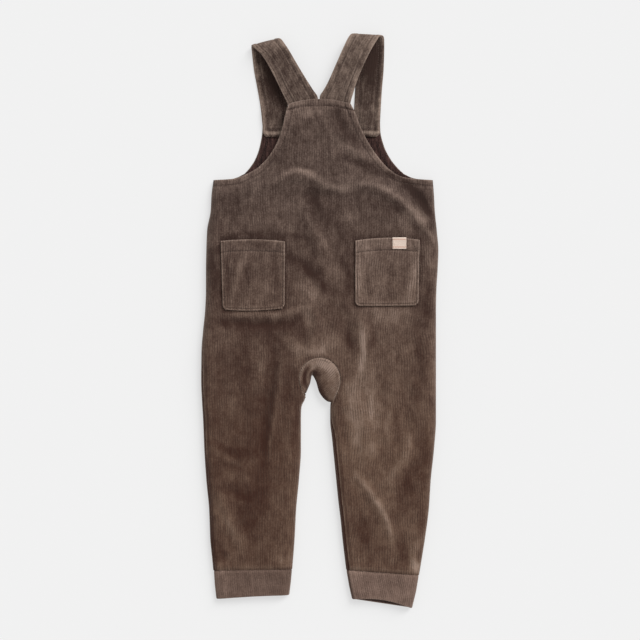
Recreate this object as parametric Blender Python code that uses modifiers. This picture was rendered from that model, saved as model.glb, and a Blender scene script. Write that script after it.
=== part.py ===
"""Toddler overalls in fine-wale corduroy, laid flat with their back facing up.

The garment lies on the plane z = 0 with its head end towards +Y. The front panel is on the
floor, the back panel lies over it, and the two meet at the side seams and the inseams. Each
piece that a maker cuts and sews is one object. Tables are in millimetres.
"""

import math

import bpy
import numpy as np

MM = 0.001

# Cloth
WALL = 1.8  # corduroy with its pile
STRAP_WALL = 3.0  # a strap is two layers of cloth
CUFF_WALL = 2.2  # a cuff band is folded double
LABEL_WALL = 0.6
SEAM_GAP = 0.3  # between two pieces that are sewn to each other
POCKET_GAP = 0.5  # between a pocket and the panel that it is sewn to

# Flattened tube of cloth: its edge is rounded above and below the height of the side seam.
SEAM_Z = 5.0
ROUND_ABOVE = 12.0  # how far in from the edge the upper cloth takes to level out
ROUND_BELOW = 6.0
SEAM_RADIUS = 6.8  # of that rounding at the seam, nearly
SEAM_TOP_GAP = 2.2  # how far back and front part at the top of the side seam
SEAM_ANGLE = 14.0  # how far up the rounded edge a seam lies, in degrees
LEG_SEAM_ANGLE = {"left_outer": 38.0, "right_inner": 50.0}  # where the front rolls into view
ROLL_FROM_TO = {"left_outer": (-10.0, -70.0), "right_inner": (-103.0, -145.0)}  # y where that begins

# Outer edge of the garment, from the armholes down to the cuff seams.
SIDES = {
    "y": (176, 157, 138, 113, 88, 63, 38, 13, -12, -37, -74, -99, -124, -161, -199, -236, -274, -299, -320),
    "left": (-133, -135.5, -136.5, -141, -142, -142.5, -142.5, -143.5, -146, -148, -148.5, -147.5, -146,
             -144.5, -142, -138.5, -137, -134.5, -132.5),
    "right": (141.5, 143, 144, 146.5, 148.5, 147.5, 146, 145.5, 145.5, 145.5, 145.5, 145.5, 145.5,
              143, 139, 136.5, 131.5, 127.5, 124),
}
SIDE_SEAM_TOP = 176.0

# Edge of each panel above the side seams. The armhole runs inwards from the side seam at seam_x
# and seam_y; then each row of the panel ends on it at y and crosses the middle at middle_y.
BACK_ARMHOLE = {
    "left_seam_x": (-133, -121, -109, -99, -90),
    "right_seam_x": (141.5, 131, 120, 103, 94),
    "seam_y": (176, 176.5, 177.4, 180, 184),
    "y": (191, 206, 225, 243, 262, 271),
    "left": (-78, -63.5, -52.5, -46.5, -42, -38.5),
    "right": (85, 72, 59.5, 50.5, 43.2, 38.5),
    "middle_y": (190, 206, 224, 242, 261, 277),
}
FRONT_ARMHOLE = {
    "left_seam_x": (-133, -122, -112, -104, -94.5),
    "right_seam_x": (141.5, 132, 124, 115, 105.5),
    "seam_y": (176, 176.5, 177.4, 179.5, 184),
    "y": (190, 203, 219, 238, 253),
    "left": (-89, -80.5, -75, -72, -71.5),
    "right": (99, 88.5, 80.5, 76, 75.5),
    "middle_y": (191, 206, 222, 239, 254),
}
ARMHOLE_DROP = 4.5  # how much lower than the panel the edge of the back's armhole lies
ARMHOLE_REACH = 18.0
ARMHOLE_DROP_ENDS = (215.0, 250.0)  # the drop fades out between these heights

# Crotch: the gusset is set into an arch of each panel and folds over between them.
ARCH_MIDDLE_Y = -73.5
ARCH_HALF_WIDTH = 26.0
ARCH_RISE = 27.5
ARCH_STEPS = 8
GUSSET_END = {"left": (-17.6, -92.0), "right": (13.5, -103.0)}
GUSSET_FOLD = {  # the fold, from the left end of the arch to its right end
    "share": (-1, -0.7, -0.35, 0, 0.25, 0.5, 0.75, 1),
    "x": (-17.6, -15.4, -12, -9.4, -5, -0.6, 6.4, 13.5),
    "y": (-92, -86.5, -78, -68.2, -75.3, -89.4, -98.6, -103),
}
GUSSET_FOLD_Z = 7.2
GUSSET_TIP_WIDTH = 3.0  # how wide its ends still are
GUSSET_TIP_LENGTH = 7.0  # how far below them back and front have met
INSEAMS = {
    "left": {"y": (-92, -99, -105, -111, -124, -161, -199, -236, -274, -312),
             "x": (-17.6, -18.8, -22, -23.2, -23.5, -23.5, -26, -29.5, -31.5, -34.5)},
    "right": {"y": (-103, -111, -124, -149, -174, -199, -224, -249, -274, -312),
              "x": (13.5, 13, 13, 15.5, 18, 20.5, 23, 26, 28.5, 33.0)},
}
LEG_ENDS = {"left": (-312.1, -310.5), "right": (-318.0, -311.5)}  # y at the side seam, at the inseam

# Height of the back panel over the floor, down the middle of the garment.
LOFT = {
    "y": (277, 240, 180, 100, 0, -46, -100, -200, -280, -320),
    "z": (13.5, 14.0, 14.5, 15.0, 15.0, 16.0, 15.0, 14.0, 12.8, 11.6),
}

# The largest folds of the back: a soft ridge (or trough) along a bent line.
FOLD_COLUMNS = ("x0", "y0", "bend_x", "bend_y", "x1", "y1", "half_width", "height")
FOLDS = (
    (-88, 164, -30, 194, 24, 166, 14, 3.2),
    (6, 168, 75, 194, 142, 108, 15, 3.4),
    (-60, 152, -8, 160, 48, 146, 13, -2.0),
    (-34, 158, 14, 100, 2, 22, 17, 2.4),
    (96, 168, 122, 160, 136, 132, 12, -2.2),
    (-90, 160, -108, 140, -120, 104, 13, -1.6),
    (14, 236, 38, 224, 60, 200, 11, 1.8),
    (-120, -2, -66, -10, -16, 4, 12, -3.2),
    (-16, 22, 6, 4, -12, -30, 11, 2.6),
    (52, 0, 68, -35, 58, -76, 12, 3.4),
    (28, 4, 42, -14, 34, -42, 12, -2.6),
    (-54, -28, -74, -90, -72, -190, 13, -2.4),
    (-40, -38, -54, -92, -60, -142, 10, 2.2),
    (44, -100, 64, -126, 58, -184, 16, 2.4),
    (48, -194, 72, -226, 90, -266, 12, 2.8),
    (112, -148, 104, -186, 76, -214, 12, 2.2),
    (-130, -206, -112, -240, -100, -278, 12, 2.0),
    (100, -60, 112, -100, 104, -140, 15, -1.8),
)

# Patch pockets: corners run from the top left, as the cloth is sewn on.
POCKETS = {
    "left": {"top": (99.5, 101.5, 99.0), "bottom": (13.5, 12.5, 15.0), "x_top": (-123.5, -43.5),
             "x_bottom": (-121.0, -44.0)},
    "right": {"top": (100.0, 103.5, 101.0), "bottom": (18.5, 18.5, 19.0), "x_top": (44.5, 124.5),
              "x_bottom": (44.0, 123.0)},
}
LABEL = {"x": (90.5, 108.0), "y": (89.5, 104.0)}

# Straps: both edges of the outer face, from the bib end, round the fold and on to the back.
STRAP_COLUMNS = ("outer_x", "outer_y", "outer_z", "inner_x", "inner_y", "inner_z")
STRAPS = {
    "left": (
        (-67.0, 230.2, 2.1, -39.5, 229.6, 2.1),
        (-70.4, 234.0, 2.1, -36.8, 233.4, 2.1),
        (-71.8, 244.5, 2.1, -37.9, 244.5, 2.1),
        (-73.0, 257.0, 2.1, -39.0, 259.5, 2.1),
        (-74.6, 270.0, 0.3, -40.4, 273.5, 0.3),
        (-78.6, 293.0, 0.0, -43.6, 299.0, 0.0),
        (-82.6, 315.0, 0.0, -47.5, 323.5, 0.0),
        (-85.2, 337.5, 0.0, -50.8, 346.5, 0.0),
        (-85.8, 342.8, 2.0, -51.6, 351.9, 2.0),
        (-85.7, 345.4, 7.0, -51.2, 354.2, 7.0),
        (-83.6, 343.0, 12.0, -48.8, 352.8, 12.0),
        (-79.5, 338.6, 14.6, -44.8, 347.5, 14.6),
        (-73.2, 332.5, 15.6, -39.8, 340.0, 15.6),
        (-60.5, 312.0, 15.4, -29.0, 321.6, 15.2),
        (-48.6, 288.0, 13.8, -16.0, 300.2, 13.6),
        (-40.2, 270.5, 11.4, -2.4, 278.6, 11.4),
        (-36.5, 259.5, 11.2, -1.8, 265.5, 11.2),
    ),
    "right": (
        (71.5, 230.4, 2.1, 44.0, 230.4, 2.1),
        (74.8, 234.4, 2.1, 41.4, 234.4, 2.1),
        (75.4, 245.0, 2.1, 42.0, 245.0, 2.1),
        (76.0, 257.5, 2.1, 42.6, 257.5, 2.1),
        (76.8, 271.0, 0.3, 43.2, 271.0, 0.3),
        (78.0, 290.0, 0.0, 44.2, 290.5, 0.0),
        (80.2, 317.0, 0.0, 45.8, 319.0, 0.0),
        (80.9, 345.0, 0.0, 45.9, 348.0, 0.0),
        (80.8, 352.6, 2.2, 44.8, 355.0, 2.2),
        (79.0, 357.4, 7.2, 42.8, 359.5, 7.2),
        (76.0, 357.0, 12.0, 40.0, 359.2, 12.0),
        (72.3, 351.6, 15.0, 36.2, 354.6, 15.0),
        (64.6, 338.9, 16.2, 29.5, 341.0, 16.2),
        (55.0, 319.6, 15.6, 20.4, 320.6, 15.4),
        (45.3, 295.6, 13.8, 9.8, 297.0, 13.6),
        (39.2, 275.2, 11.4, 1.6, 279.6, 11.4),
        (36.5, 262.5, 11.2, 1.6, 266.5, 11.2),
    ),
}

# Cuffs: a flattened tube each, from the leg's end to the open mouth.
CUFF_COLUMNS = ("left_x", "left_y", "right_x", "right_y", "height")
CUFFS = {
    "left": (
        (-132.6, -312.4, -34.7, -310.8, 11.6),
        (-131.4, -330.0, -36.2, -327.5, 11.4),
        (-129.4, -348.0, -38.2, -343.2, 10.8),
    ),
    "right": (
        (33.2, -311.8, 124.0, -318.3, 11.6),
        (36.6, -331.0, 120.6, -339.0, 11.8),
        (40.5, -348.4, 115.5, -359.6, 12.2),
    ),
}
MOUTH_LIFT = {"left": 0.8, "right": 5.2}  # how far the upper mouth is drawn back of the lower one

# How finely each piece is divided
TORSO_STEP, LEG_STEP = 15.0, 18.0
BACK_HALF, FRONT_HALF = 8, 8  # columns between a level edge and the middle
YOKE_FROM = 2  # of those columns, how many end on the armhole
YOKE_TOP_Y, CROTCH_ROW_Y = 178.0, -30.0  # middle and ends of the rows at the armholes and at the crotch
BACK_EDGE = (0.0, 0.08, 0.48, 1.0)  # shares of the turn from a seam to level cloth
FRONT_EDGE_STEP = 3.1  # degrees from the seam to the front's next column
FLAT_BACK_EDGE = (0.0, 0.1, 0.45, 1.0)  # shares of the same width where there's no seam
FLAT_FRONT_EDGE = (0.0, 0.12, 0.35, 0.65, 1.0)
STRAP_COLUMNS_ACROSS = 4
POCKET_ROWS, POCKET_COLUMNS = 9, 9
POCKET_CORNER = 10.0
EVEN_OUT = 0.012  # every other point of the level front lies this much higher, so its faces stay small


def steady(knots, values, at):
    """Values between knots on a smooth curve that never overshoots them (monotone cubic)."""
    knots, values, at = (np.asarray(part, float) for part in (knots, values, at))
    if knots[0] > knots[-1]:
        knots, values = knots[::-1], values[::-1]
    widths = np.diff(knots)
    slopes = np.diff(values) / widths
    tangents = np.zeros_like(values)
    tangents[0], tangents[-1] = slopes[0], slopes[-1]
    same_way = slopes[:-1] * slopes[1:] > 0
    before, after = 2 * widths[1:] + widths[:-1], widths[1:] + 2 * widths[:-1]
    with np.errstate(divide="ignore", invalid="ignore"):
        blended = (before + after) / (before / slopes[:-1] + after / slopes[1:])
    tangents[1:-1] = np.where(same_way, blended, 0.0)
    cell = np.clip(np.searchsorted(knots, at) - 1, 0, len(knots) - 2)
    share = (np.clip(at, knots[0], knots[-1]) - knots[cell]) / widths[cell]
    start, end = values[cell], values[cell + 1]
    return (
        start * (1 + 2 * share) * (1 - share) ** 2
        + end * share**2 * (3 - 2 * share)
        + tangents[cell] * widths[cell] * share * (1 - share) ** 2
        + tangents[cell + 1] * widths[cell] * share**2 * (share - 1)
    )


def ease(value, low, high):
    """0 at low, 1 at high, with level ends."""
    share = np.clip((np.asarray(value, float) - low) / (high - low), 0.0, 1.0)
    return share * share * (3 - 2 * share)


def side_x(side, y):
    """Outermost x of the garment at height y; straight up above the side seam."""
    return steady(SIDES["y"], SIDES[side], np.minimum(y, SIDE_SEAM_TOP))


def inseam_x(side, y):
    """x of a leg's inner edge at height y; straight up above the gusset."""
    return steady(INSEAMS[side]["y"], INSEAMS[side]["x"], y)


def rounding(distance, reach):
    """Height share of a rounded edge at a distance in from it: a quarter ellipse, then level."""
    share = np.clip(np.asarray(distance, float) / reach, 0.0, 1.0)
    return np.sqrt(1 - (1 - share) ** 2)


def fold_height(x, y):
    """Sum of the folds: each is a raised cosine across its bent line and fades at its ends."""
    total = np.zeros(np.broadcast(x, y).shape)
    along = np.linspace(0.0, 1.0, 25)
    for row in FOLDS:
        fold = dict(zip(FOLD_COLUMNS, row))
        weights = ((1 - along) ** 2, 2 * along * (1 - along), along**2)
        line_x = weights[0] * fold["x0"] + weights[1] * fold["bend_x"] + weights[2] * fold["x1"]
        line_y = weights[0] * fold["y0"] + weights[1] * fold["bend_y"] + weights[2] * fold["y1"]
        gaps = np.hypot(x[..., None] - line_x, y[..., None] - line_y)
        nearest = gaps.argmin(axis=-1)
        across = np.clip(gaps.min(axis=-1) / fold["half_width"], 0.0, 1.0)
        fade = np.sin(math.pi * (0.12 + 0.76 * along[nearest]))
        total = total + fold["height"] * fade * 0.5 * (1 + np.cos(math.pi * across))
    return total


def inner_share(side, y):
    """How fully a leg's inner edge is rounded: not at all over the arch, fully at the inseam."""
    end_y = GUSSET_END[side][1]
    return ease(-np.asarray(y, float), -end_y - 20.0, -end_y + 2.0)


def armhole_distance(x, y):
    """How far a point is from the nearest armhole edge of the back."""
    nearest = np.full(np.broadcast(x, y).shape, np.inf)
    share = np.linspace(0.0, 1.0, 60)
    for side in ("left", "right"):
        edge_x = np.array(BACK_ARMHOLE[f"{side}_seam_x"] + BACK_ARMHOLE[side], float)
        edge_y = np.array(BACK_ARMHOLE["seam_y"] + BACK_ARMHOLE["y"], float)
        place = share * (len(edge_x) - 1)
        line_x, line_y = (np.interp(place, np.arange(len(edge)), edge) for edge in (edge_x, edge_y))
        nearest = np.minimum(nearest, np.hypot(x[..., None] - line_x, y[..., None] - line_y).min(axis=-1))
    return nearest


def level_z(x, y):
    """Height of the back's outer face away from its rounded edges."""
    drop = ARMHOLE_DROP * (1 - ease(y, *ARMHOLE_DROP_ENDS))
    drop = drop * (1 - ease(armhole_distance(x, y), 0.0, ARMHOLE_REACH))
    return steady(LOFT["y"], LOFT["z"], y) + fold_height(x, y) - drop


def upper_z(x, y):
    """Height of the back's outer face."""
    x, y = (np.asarray(part, float) for part in (x, y))
    share = rounding(x - side_x("left", y), ROUND_ABOVE) * rounding(side_x("right", y) - x, ROUND_ABOVE)
    for side, sign in (("left", -1.0), ("right", 1.0)):
        inside = np.where(sign * x > 0, sign * (x - inseam_x(side, y)), ROUND_ABOVE)
        share = share * (1 - inner_share(side, y) * (1 - rounding(inside, ROUND_ABOVE)))
    return SEAM_Z + (level_z(x, y) - SEAM_Z) * share


def seam_angle(place, y):
    """How far up the rounded edge the seam lies at height y, in radians."""
    rolled = 0.0
    if place in LEG_SEAM_ANGLE:
        start, stop = ROLL_FROM_TO[place]
        rolled = (LEG_SEAM_ANGLE[place] - SEAM_ANGLE) * float(ease(-y, -start, -stop))
    return math.radians(SEAM_ANGLE + rolled)


def seam_gap(place, y):
    """Gap between back and front: it opens towards the armholes and towards the gusset's ends."""
    side, edge = place.split("_")
    if edge == "outer":
        return SEAM_GAP + SEAM_TOP_GAP * float(ease(y, 158.0, SIDE_SEAM_TOP))
    end_y = GUSSET_END[side][1]
    return SEAM_GAP + GUSSET_TIP_WIDTH * (1 - float(ease(-y, -end_y, -end_y + GUSSET_TIP_LENGTH)))


def back_edge(place, y, sign, edge, share=1.0, inset=0.0):
    """x of the back's columns from its edge inwards: seamed where share is 1, flat where it's 0."""
    first = seam_angle(place, y) + (0.5 * seam_gap(place, y) - inset) / SEAM_RADIUS
    angles = first + (math.pi / 2 - first) * np.array(BACK_EDGE)
    seamed, flat = ROUND_ABOVE * (1 - np.cos(angles)), ROUND_ABOVE * np.array(FLAT_BACK_EDGE)
    return edge + sign * (seamed * share + flat * (1 - share))


def front_edge(place, y, sign, edge, share=1.0, inset=0.0):
    """x and z of the front's columns from its edge inwards: from the seam down to the floor."""
    first = seam_angle(place, y) - (0.5 * seam_gap(place, y) - inset) / SEAM_RADIUS
    second = first - math.radians(FRONT_EDGE_STEP)
    turns = np.array([first, second, 0.5 * (second - math.pi / 4), -math.pi / 4, -math.pi / 2])
    seamed = np.where(turns > 0, ROUND_ABOVE, ROUND_BELOW) * (1 - np.cos(turns))
    x = edge + sign * (seamed * share + ROUND_ABOVE * np.array(FLAT_FRONT_EDGE) * (1 - share))
    level = level_z(edge + sign * seamed, np.full(len(turns), float(y)))
    z = SEAM_Z + np.where(turns > 0, level - SEAM_Z, SEAM_Z) * np.sin(turns)
    return x, z * share


def arch_point(side, share, grown):
    """Point of the gusset's seam: share 0 at the top of the arch, 1 at the gusset's end."""
    sign = -1.0 if side == "left" else 1.0
    end_x, end_y = GUSSET_END[side]
    half_width, rise = ARCH_HALF_WIDTH + grown, ARCH_RISE + grown
    end_half_width = abs(end_x) + grown
    drop = ARCH_MIDDLE_Y - end_y
    quarter = 0.5 * math.pi * ARCH_RISE
    run = share * (quarter + drop)
    if run <= quarter:
        angle = run / ARCH_RISE
        return sign * half_width * math.sin(angle), ARCH_MIDDLE_Y + rise * math.cos(angle)
    fallen = (run - quarter) / drop
    narrowed = (half_width - end_half_width) * (1 - math.cos(fallen * math.pi / 2))
    return sign * (half_width - narrowed), ARCH_MIDDLE_Y - drop * fallen


def torso_rows():
    """(end y, middle y) of each row from the armholes down to the crotch."""
    top, bottom = (SIDE_SEAM_TOP, YOKE_TOP_Y), (CROTCH_ROW_Y, ARCH_MIDDLE_Y + ARCH_RISE)
    count = round((top[0] - bottom[0]) / TORSO_STEP)
    shares = [step / count for step in range(count + 1)]
    return [tuple(start + (stop - start) * share for start, stop in zip(top, bottom)) for share in shares]


def leg_rows(side):
    """(outer y, inner x, inner y) of each row from the crotch down to the leg's end."""
    rows = []
    for step in range(1, ARCH_STEPS + 1):
        share = step / ARCH_STEPS
        rows.append((CROTCH_ROW_Y - 66.0 * share, *arch_point(side, share, 0.0)))
    (outer_end, inner_end), (outer_start, _, inner_start) = LEG_ENDS[side], rows[-1]
    outer_start, inner_start = outer_start - GUSSET_TIP_LENGTH, inner_start - GUSSET_TIP_LENGTH
    rows.append((outer_start, float(inseam_x(side, inner_start)), inner_start))
    count = round((outer_start - outer_end) / LEG_STEP)
    for step in range(1, count + 1):
        share = step / count
        outer_y = outer_start + (outer_end - outer_start) * share
        inner_y = inner_start + (inner_end - inner_start) * share
        rows.append((outer_y, float(inseam_x(side, inner_y)), inner_y))
    return rows


def spread(left, right, half):
    """One row of x: the left edge's columns, evenly spaced ones, then the right edge's, outermost last."""
    left_part = np.linspace(left[-1], 0.0, half + 1)[1:]
    right_part = np.linspace(0.0, right[-1], half + 1)[1:]
    return np.concatenate([left, left_part, right_part, right[-2::-1]])


def bowed(x, end_y, middle_y):
    """y along a row whose middle may lie above or below its ends."""
    across = 2 * (x - x[0]) / (x[-1] - x[0]) - 1
    return middle_y + (end_y - middle_y) * across**2


def armhole_row(x, armhole):
    """y of the row that follows both armholes in from the side seams, then crosses the middle."""
    left_x, right_x = (armhole[f"{side}_seam_x"] for side in ("left", "right"))
    seam_y = armhole["seam_y"]
    inner = np.clip(np.where(x < 0, x / left_x[-1], x / right_x[-1]), 0.0, 1.0)
    across = YOKE_TOP_Y + (seam_y[-1] - YOKE_TOP_Y) * inner**2
    left, right = steady(left_x, seam_y, x), steady(right_x, seam_y, x)
    return np.where(x < left_x[-1], left, np.where(x > right_x[-1], right, across))


def torso(armhole, edge_points, half):
    """Points of a panel from its armholes' lower ends to the crotch."""
    rows = []
    for index, (end_y, middle_y) in enumerate(torso_rows()):
        (left, left_z), (right, right_z) = (
            edge_points(f"{side}_outer", end_y, sign, float(side_x(side, end_y)))
            for side, sign in (("left", 1), ("right", -1))
        )
        x = spread(left, right, half)
        if index == 0:
            first, last = len(left) - 1, len(x) - len(right)
            knots = (first, first + YOKE_FROM, len(x) // 2, last - YOKE_FROM, last)
            inner_x = (armhole["left_seam_x"][-1], 0.0, armhole["right_seam_x"][-1])
            x[first : last + 1] = np.interp(range(first, last + 1), knots, (left[-1], *inner_x, right[-1]))
        y = armhole_row(x, armhole) if index == 0 else bowed(x, end_y, middle_y)
        level = np.zeros(2 * half - 1)
        z = upper_z(x, y) if left_z is None else np.concatenate([left_z, level, right_z[::-1]])
        rows.append(np.column_stack([x, y, z]))
    return np.array(rows)


def yoke(armhole, first_row, height):
    """Points of a panel above its armholes' lower ends, from the top edge down to first_row."""
    rows = [first_row]
    for end_y, middle_y, left, right in zip(*(armhole[key] for key in ("y", "middle_y", "left", "right"))):
        x = np.linspace(left, right, len(first_row))
        y = bowed(x, end_y, middle_y)
        rows.append(np.column_stack([x, y, height(x, y)]))
    return np.array(rows[::-1])


def leg(side, torso_row, edge_points):
    """Points of one leg's panel; each row runs from its outer edge to its inner one.

    edge_points gives x and z of the columns of an edge. The first rows pass from the torso's
    even columns to the leg's own.
    """
    sign = 1 if side == "left" else -1
    half = len(torso_row) // 2
    across = torso_row[: half + 1, 0] if side == "left" else torso_row[half:, 0][::-1]
    even = (across - across[0]) / (across[-1] - across[0])
    rows = []
    for index, (outer_y, inner_x, inner_y) in enumerate(leg_rows(side)):
        outer, outer_z = edge_points(f"{side}_outer", outer_y, sign, float(side_x(side, outer_y)), 1.0)
        share = float(inner_share(side, inner_y))
        inner, inner_z = edge_points(f"{side}_inner", inner_y, -sign, inner_x, share)
        between = np.linspace(outer[-1], inner[-1], len(across) - 2 * len(outer) + 2)[1:-1]
        own = np.concatenate([outer, between, inner[::-1]])
        settled = min(1.0, (index + 1) / 4)
        x = own + (own[0] + (own[-1] - own[0]) * even - own) * (1 - settled)
        y = outer_y + (inner_y - outer_y) * (x - x[0]) / (x[-1] - x[0])
        z = upper_z(x, y) if outer_z is None else np.concatenate([outer_z, between * 0, inner_z[::-1]])
        row = np.column_stack([x, y, z])
        rows.append(row if side == "left" else row[::-1])
    return np.array(rows)


def back_edge_points(*place):
    """The back's edge columns; their heights come from the back's own form."""
    return back_edge(*place), None


def evened(points):
    """A grid of points with every other one raised a little."""
    rows, columns = np.indices(points.shape[:2])
    points[..., 2] += EVEN_OUT * ((rows + columns) % 2)
    return points


def quads(index, turned=False):
    """Faces of a grid of vertex numbers, facing +Z for rows from +Y down and columns from -X."""
    corners = (index[:-1, :-1], index[1:, :-1], index[1:, 1:], index[:-1, 1:])
    faces = np.stack([corner.ravel() for corner in corners], axis=1)
    return faces[:, ::-1] if turned else faces


def principled(name, colour, roughness):
    """A cloth material."""
    material = bpy.data.materials.new(name)
    material.use_nodes = True
    shader = material.node_tree.nodes["Principled BSDF"]
    shader.inputs["Base Color"].default_value = (*colour, 1.0)
    shader.inputs["Roughness"].default_value = roughness
    material.diffuse_color = (*colour, 1.0)
    return material


def cloth(name, points, faces, material, wall):
    """A cloth piece: an open surface, thickened inwards from its outer face."""
    mesh = bpy.data.meshes.new(name)
    mesh.from_pydata((np.asarray(points) * MM).tolist(), [], np.asarray(faces).tolist())
    mesh.update()
    mesh.materials.append(material)
    mesh.shade_smooth()
    piece = bpy.data.objects.new(name, mesh)
    bpy.data.collections["toddler_overalls"].objects.link(piece)
    solidify = piece.modifiers.new("wall", "SOLIDIFY")
    solidify.thickness = wall * MM
    solidify.offset = -1.0


def joined(grids, turned):
    """Points and faces of a panel: a torso grid, its yoke above, and its two legs below.

    The yoke's last row is the middle of the torso's first; each leg goes on from half of its last.
    """
    body, upper, left, right = grids
    rows, columns = body.shape[:2]
    index = np.arange(rows * columns).reshape(rows, columns)
    points, faces = [body.reshape(-1, 3)], [quads(index, turned)]
    half, inset = columns // 2, (columns - upper.shape[1]) // 2
    used = rows * columns
    for grid, shared, above in (
        (upper[:-1], index[0, inset : columns - inset], True),
        (left, index[-1, : half + 1], False),
        (right, index[-1, half:], False),
    ):
        own = used + np.arange(grid.shape[0] * grid.shape[1]).reshape(grid.shape[:2])
        faces.append(quads(np.vstack([own, shared] if above else [shared, own]), turned))
        points.append(grid.reshape(-1, 3))
        used += own.size
    return np.vstack(points), np.vstack(faces)


def make_panels(material):
    """Back and front, each one cut from the top to the ends of both legs."""
    for name, armhole, edge_points, half, height in (
        ("back_panel", BACK_ARMHOLE, back_edge_points, BACK_HALF, upper_z),
        ("front_panel", FRONT_ARMHOLE, front_edge, FRONT_HALF, lambda x, y: x * 0),
    ):
        body = torso(armhole, edge_points, half)
        inset = body.shape[1] // 2 - half + YOKE_FROM
        upper = yoke(armhole, body[0, inset:-inset], height)
        grids = [body, upper] + [leg(side, body[-1], edge_points) for side in ("left", "right")]
        if name == "front_panel":
            grids = [evened(grid) for grid in grids]
        cloth(name, *joined(grids, name == "front_panel"), material, WALL)


def gusset_seam(share):
    """The gusset's edge points on the back and on the front at a share of the arch, -1 to 1."""
    side, sign = ("left", 1) if share < 0 else ("right", -1)
    x, y = arch_point(side, abs(share), -SEAM_GAP)
    rounded = float(inner_share(side, y))
    place = (f"{side}_inner", y, -sign, x, rounded, SEAM_GAP)
    back_x = back_edge(*place)[0]
    front_x, front_z = front_edge(*place)
    return np.array([back_x, y, float(upper_z(back_x, y))]), np.array([front_x[0], y, front_z[0]])


def make_gusset(material):
    """The crotch gusset: from the back's arch over the fold to the front's arch."""
    turns = np.array([0.0, 12.0, 48.0, 90.0]) * math.pi / 180
    rows = []
    for step in range(-ARCH_STEPS, ARCH_STEPS + 1):
        share = step / ARCH_STEPS
        back, front = gusset_seam(share)
        fold_x, fold_y = (float(steady(GUSSET_FOLD["share"], GUSSET_FOLD[axis], share)) for axis in "xy")
        fold = np.array([fold_x, fold_y, GUSSET_FOLD_Z])
        halves = []
        for seam in (back, front):
            flat = seam[:2] + np.sin(turns)[:, None] * (fold[:2] - seam[:2])
            bent = np.column_stack([flat, fold[2] + np.cos(turns) * (seam[2] - fold[2])])
            straight = seam + (turns / turns[-1])[:, None] * (0.5 * (back + front) - seam)
            halves.append(bent + (straight - bent) * float(ease(abs(share), 0.74, 1.0)))
        rows.append(np.vstack([halves[0], halves[1][-2::-1]]))
    grid_piece("gusset", np.array(rows), material, WALL, turned=True)


def grid_piece(name, points, material, wall, turned=False):
    """A piece from one grid of points."""
    index = np.arange(points.shape[0] * points.shape[1]).reshape(points.shape[:2])
    cloth(name, points.reshape(-1, 3), quads(index, turned), material, wall)


def make_pockets(material):
    """Patch pockets with rounded lower corners, lying on the back."""
    for side, table in POCKETS.items():
        rows = []
        for step in np.linspace(0.0, 1.0, POCKET_ROWS):
            down = 1 - (1 - step) ** 1.6 if step < 1 else 1.0
            across = np.linspace(0.0, 1.0, POCKET_COLUMNS)
            top, bottom = (bowed_edge(table[key], across) for key in ("top", "bottom"))
            y = top + (bottom - top) * down
            left, right = (
                table["x_top"][end] + (table["x_bottom"][end] - table["x_top"][end]) * down for end in (0, 1)
            )
            depth = (1 - down) * (table["top"][0] - table["bottom"][0])
            inset = POCKET_CORNER - math.sqrt(POCKET_CORNER**2 - max(0.0, POCKET_CORNER - depth) ** 2)
            x = left + inset + (right - left - 2 * inset) * across
            rows.append(np.column_stack([x, y, upper_z(x, y) + POCKET_GAP + WALL]))
        grid_piece(f"pocket_{side}", np.array(rows), material, WALL)


def bowed_edge(ends_and_middle, across):
    """Parabola through a left, a middle and a right value."""
    left, middle, right = ends_and_middle
    return left + (right - left) * across + (middle - 0.5 * (left + right)) * 4 * across * (1 - across)


def make_label(material):
    """The woven label, on the right pocket's hem."""
    x, y = np.meshgrid(np.linspace(*LABEL["x"], 3), np.linspace(*LABEL["y"][::-1], 3))
    height = upper_z(x, y) + POCKET_GAP + WALL + SEAM_GAP + LABEL_WALL
    grid_piece("label", np.stack([x, y, height], axis=-1), material, LABEL_WALL)


def make_straps(material):
    """Shoulder straps: from the inside of the bib, round a fold and under the back's top edge."""
    across = np.linspace(0.0, 1.0, STRAP_COLUMNS_ACROSS)[None, :, None]
    for side, table in STRAPS.items():
        rows = np.array(table)
        points = rows[:, None, :3] + (rows[:, None, 3:] - rows[:, None, :3]) * across
        grid_piece(f"strap_{side}", points, material, STRAP_WALL, turned=side == "right")


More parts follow.
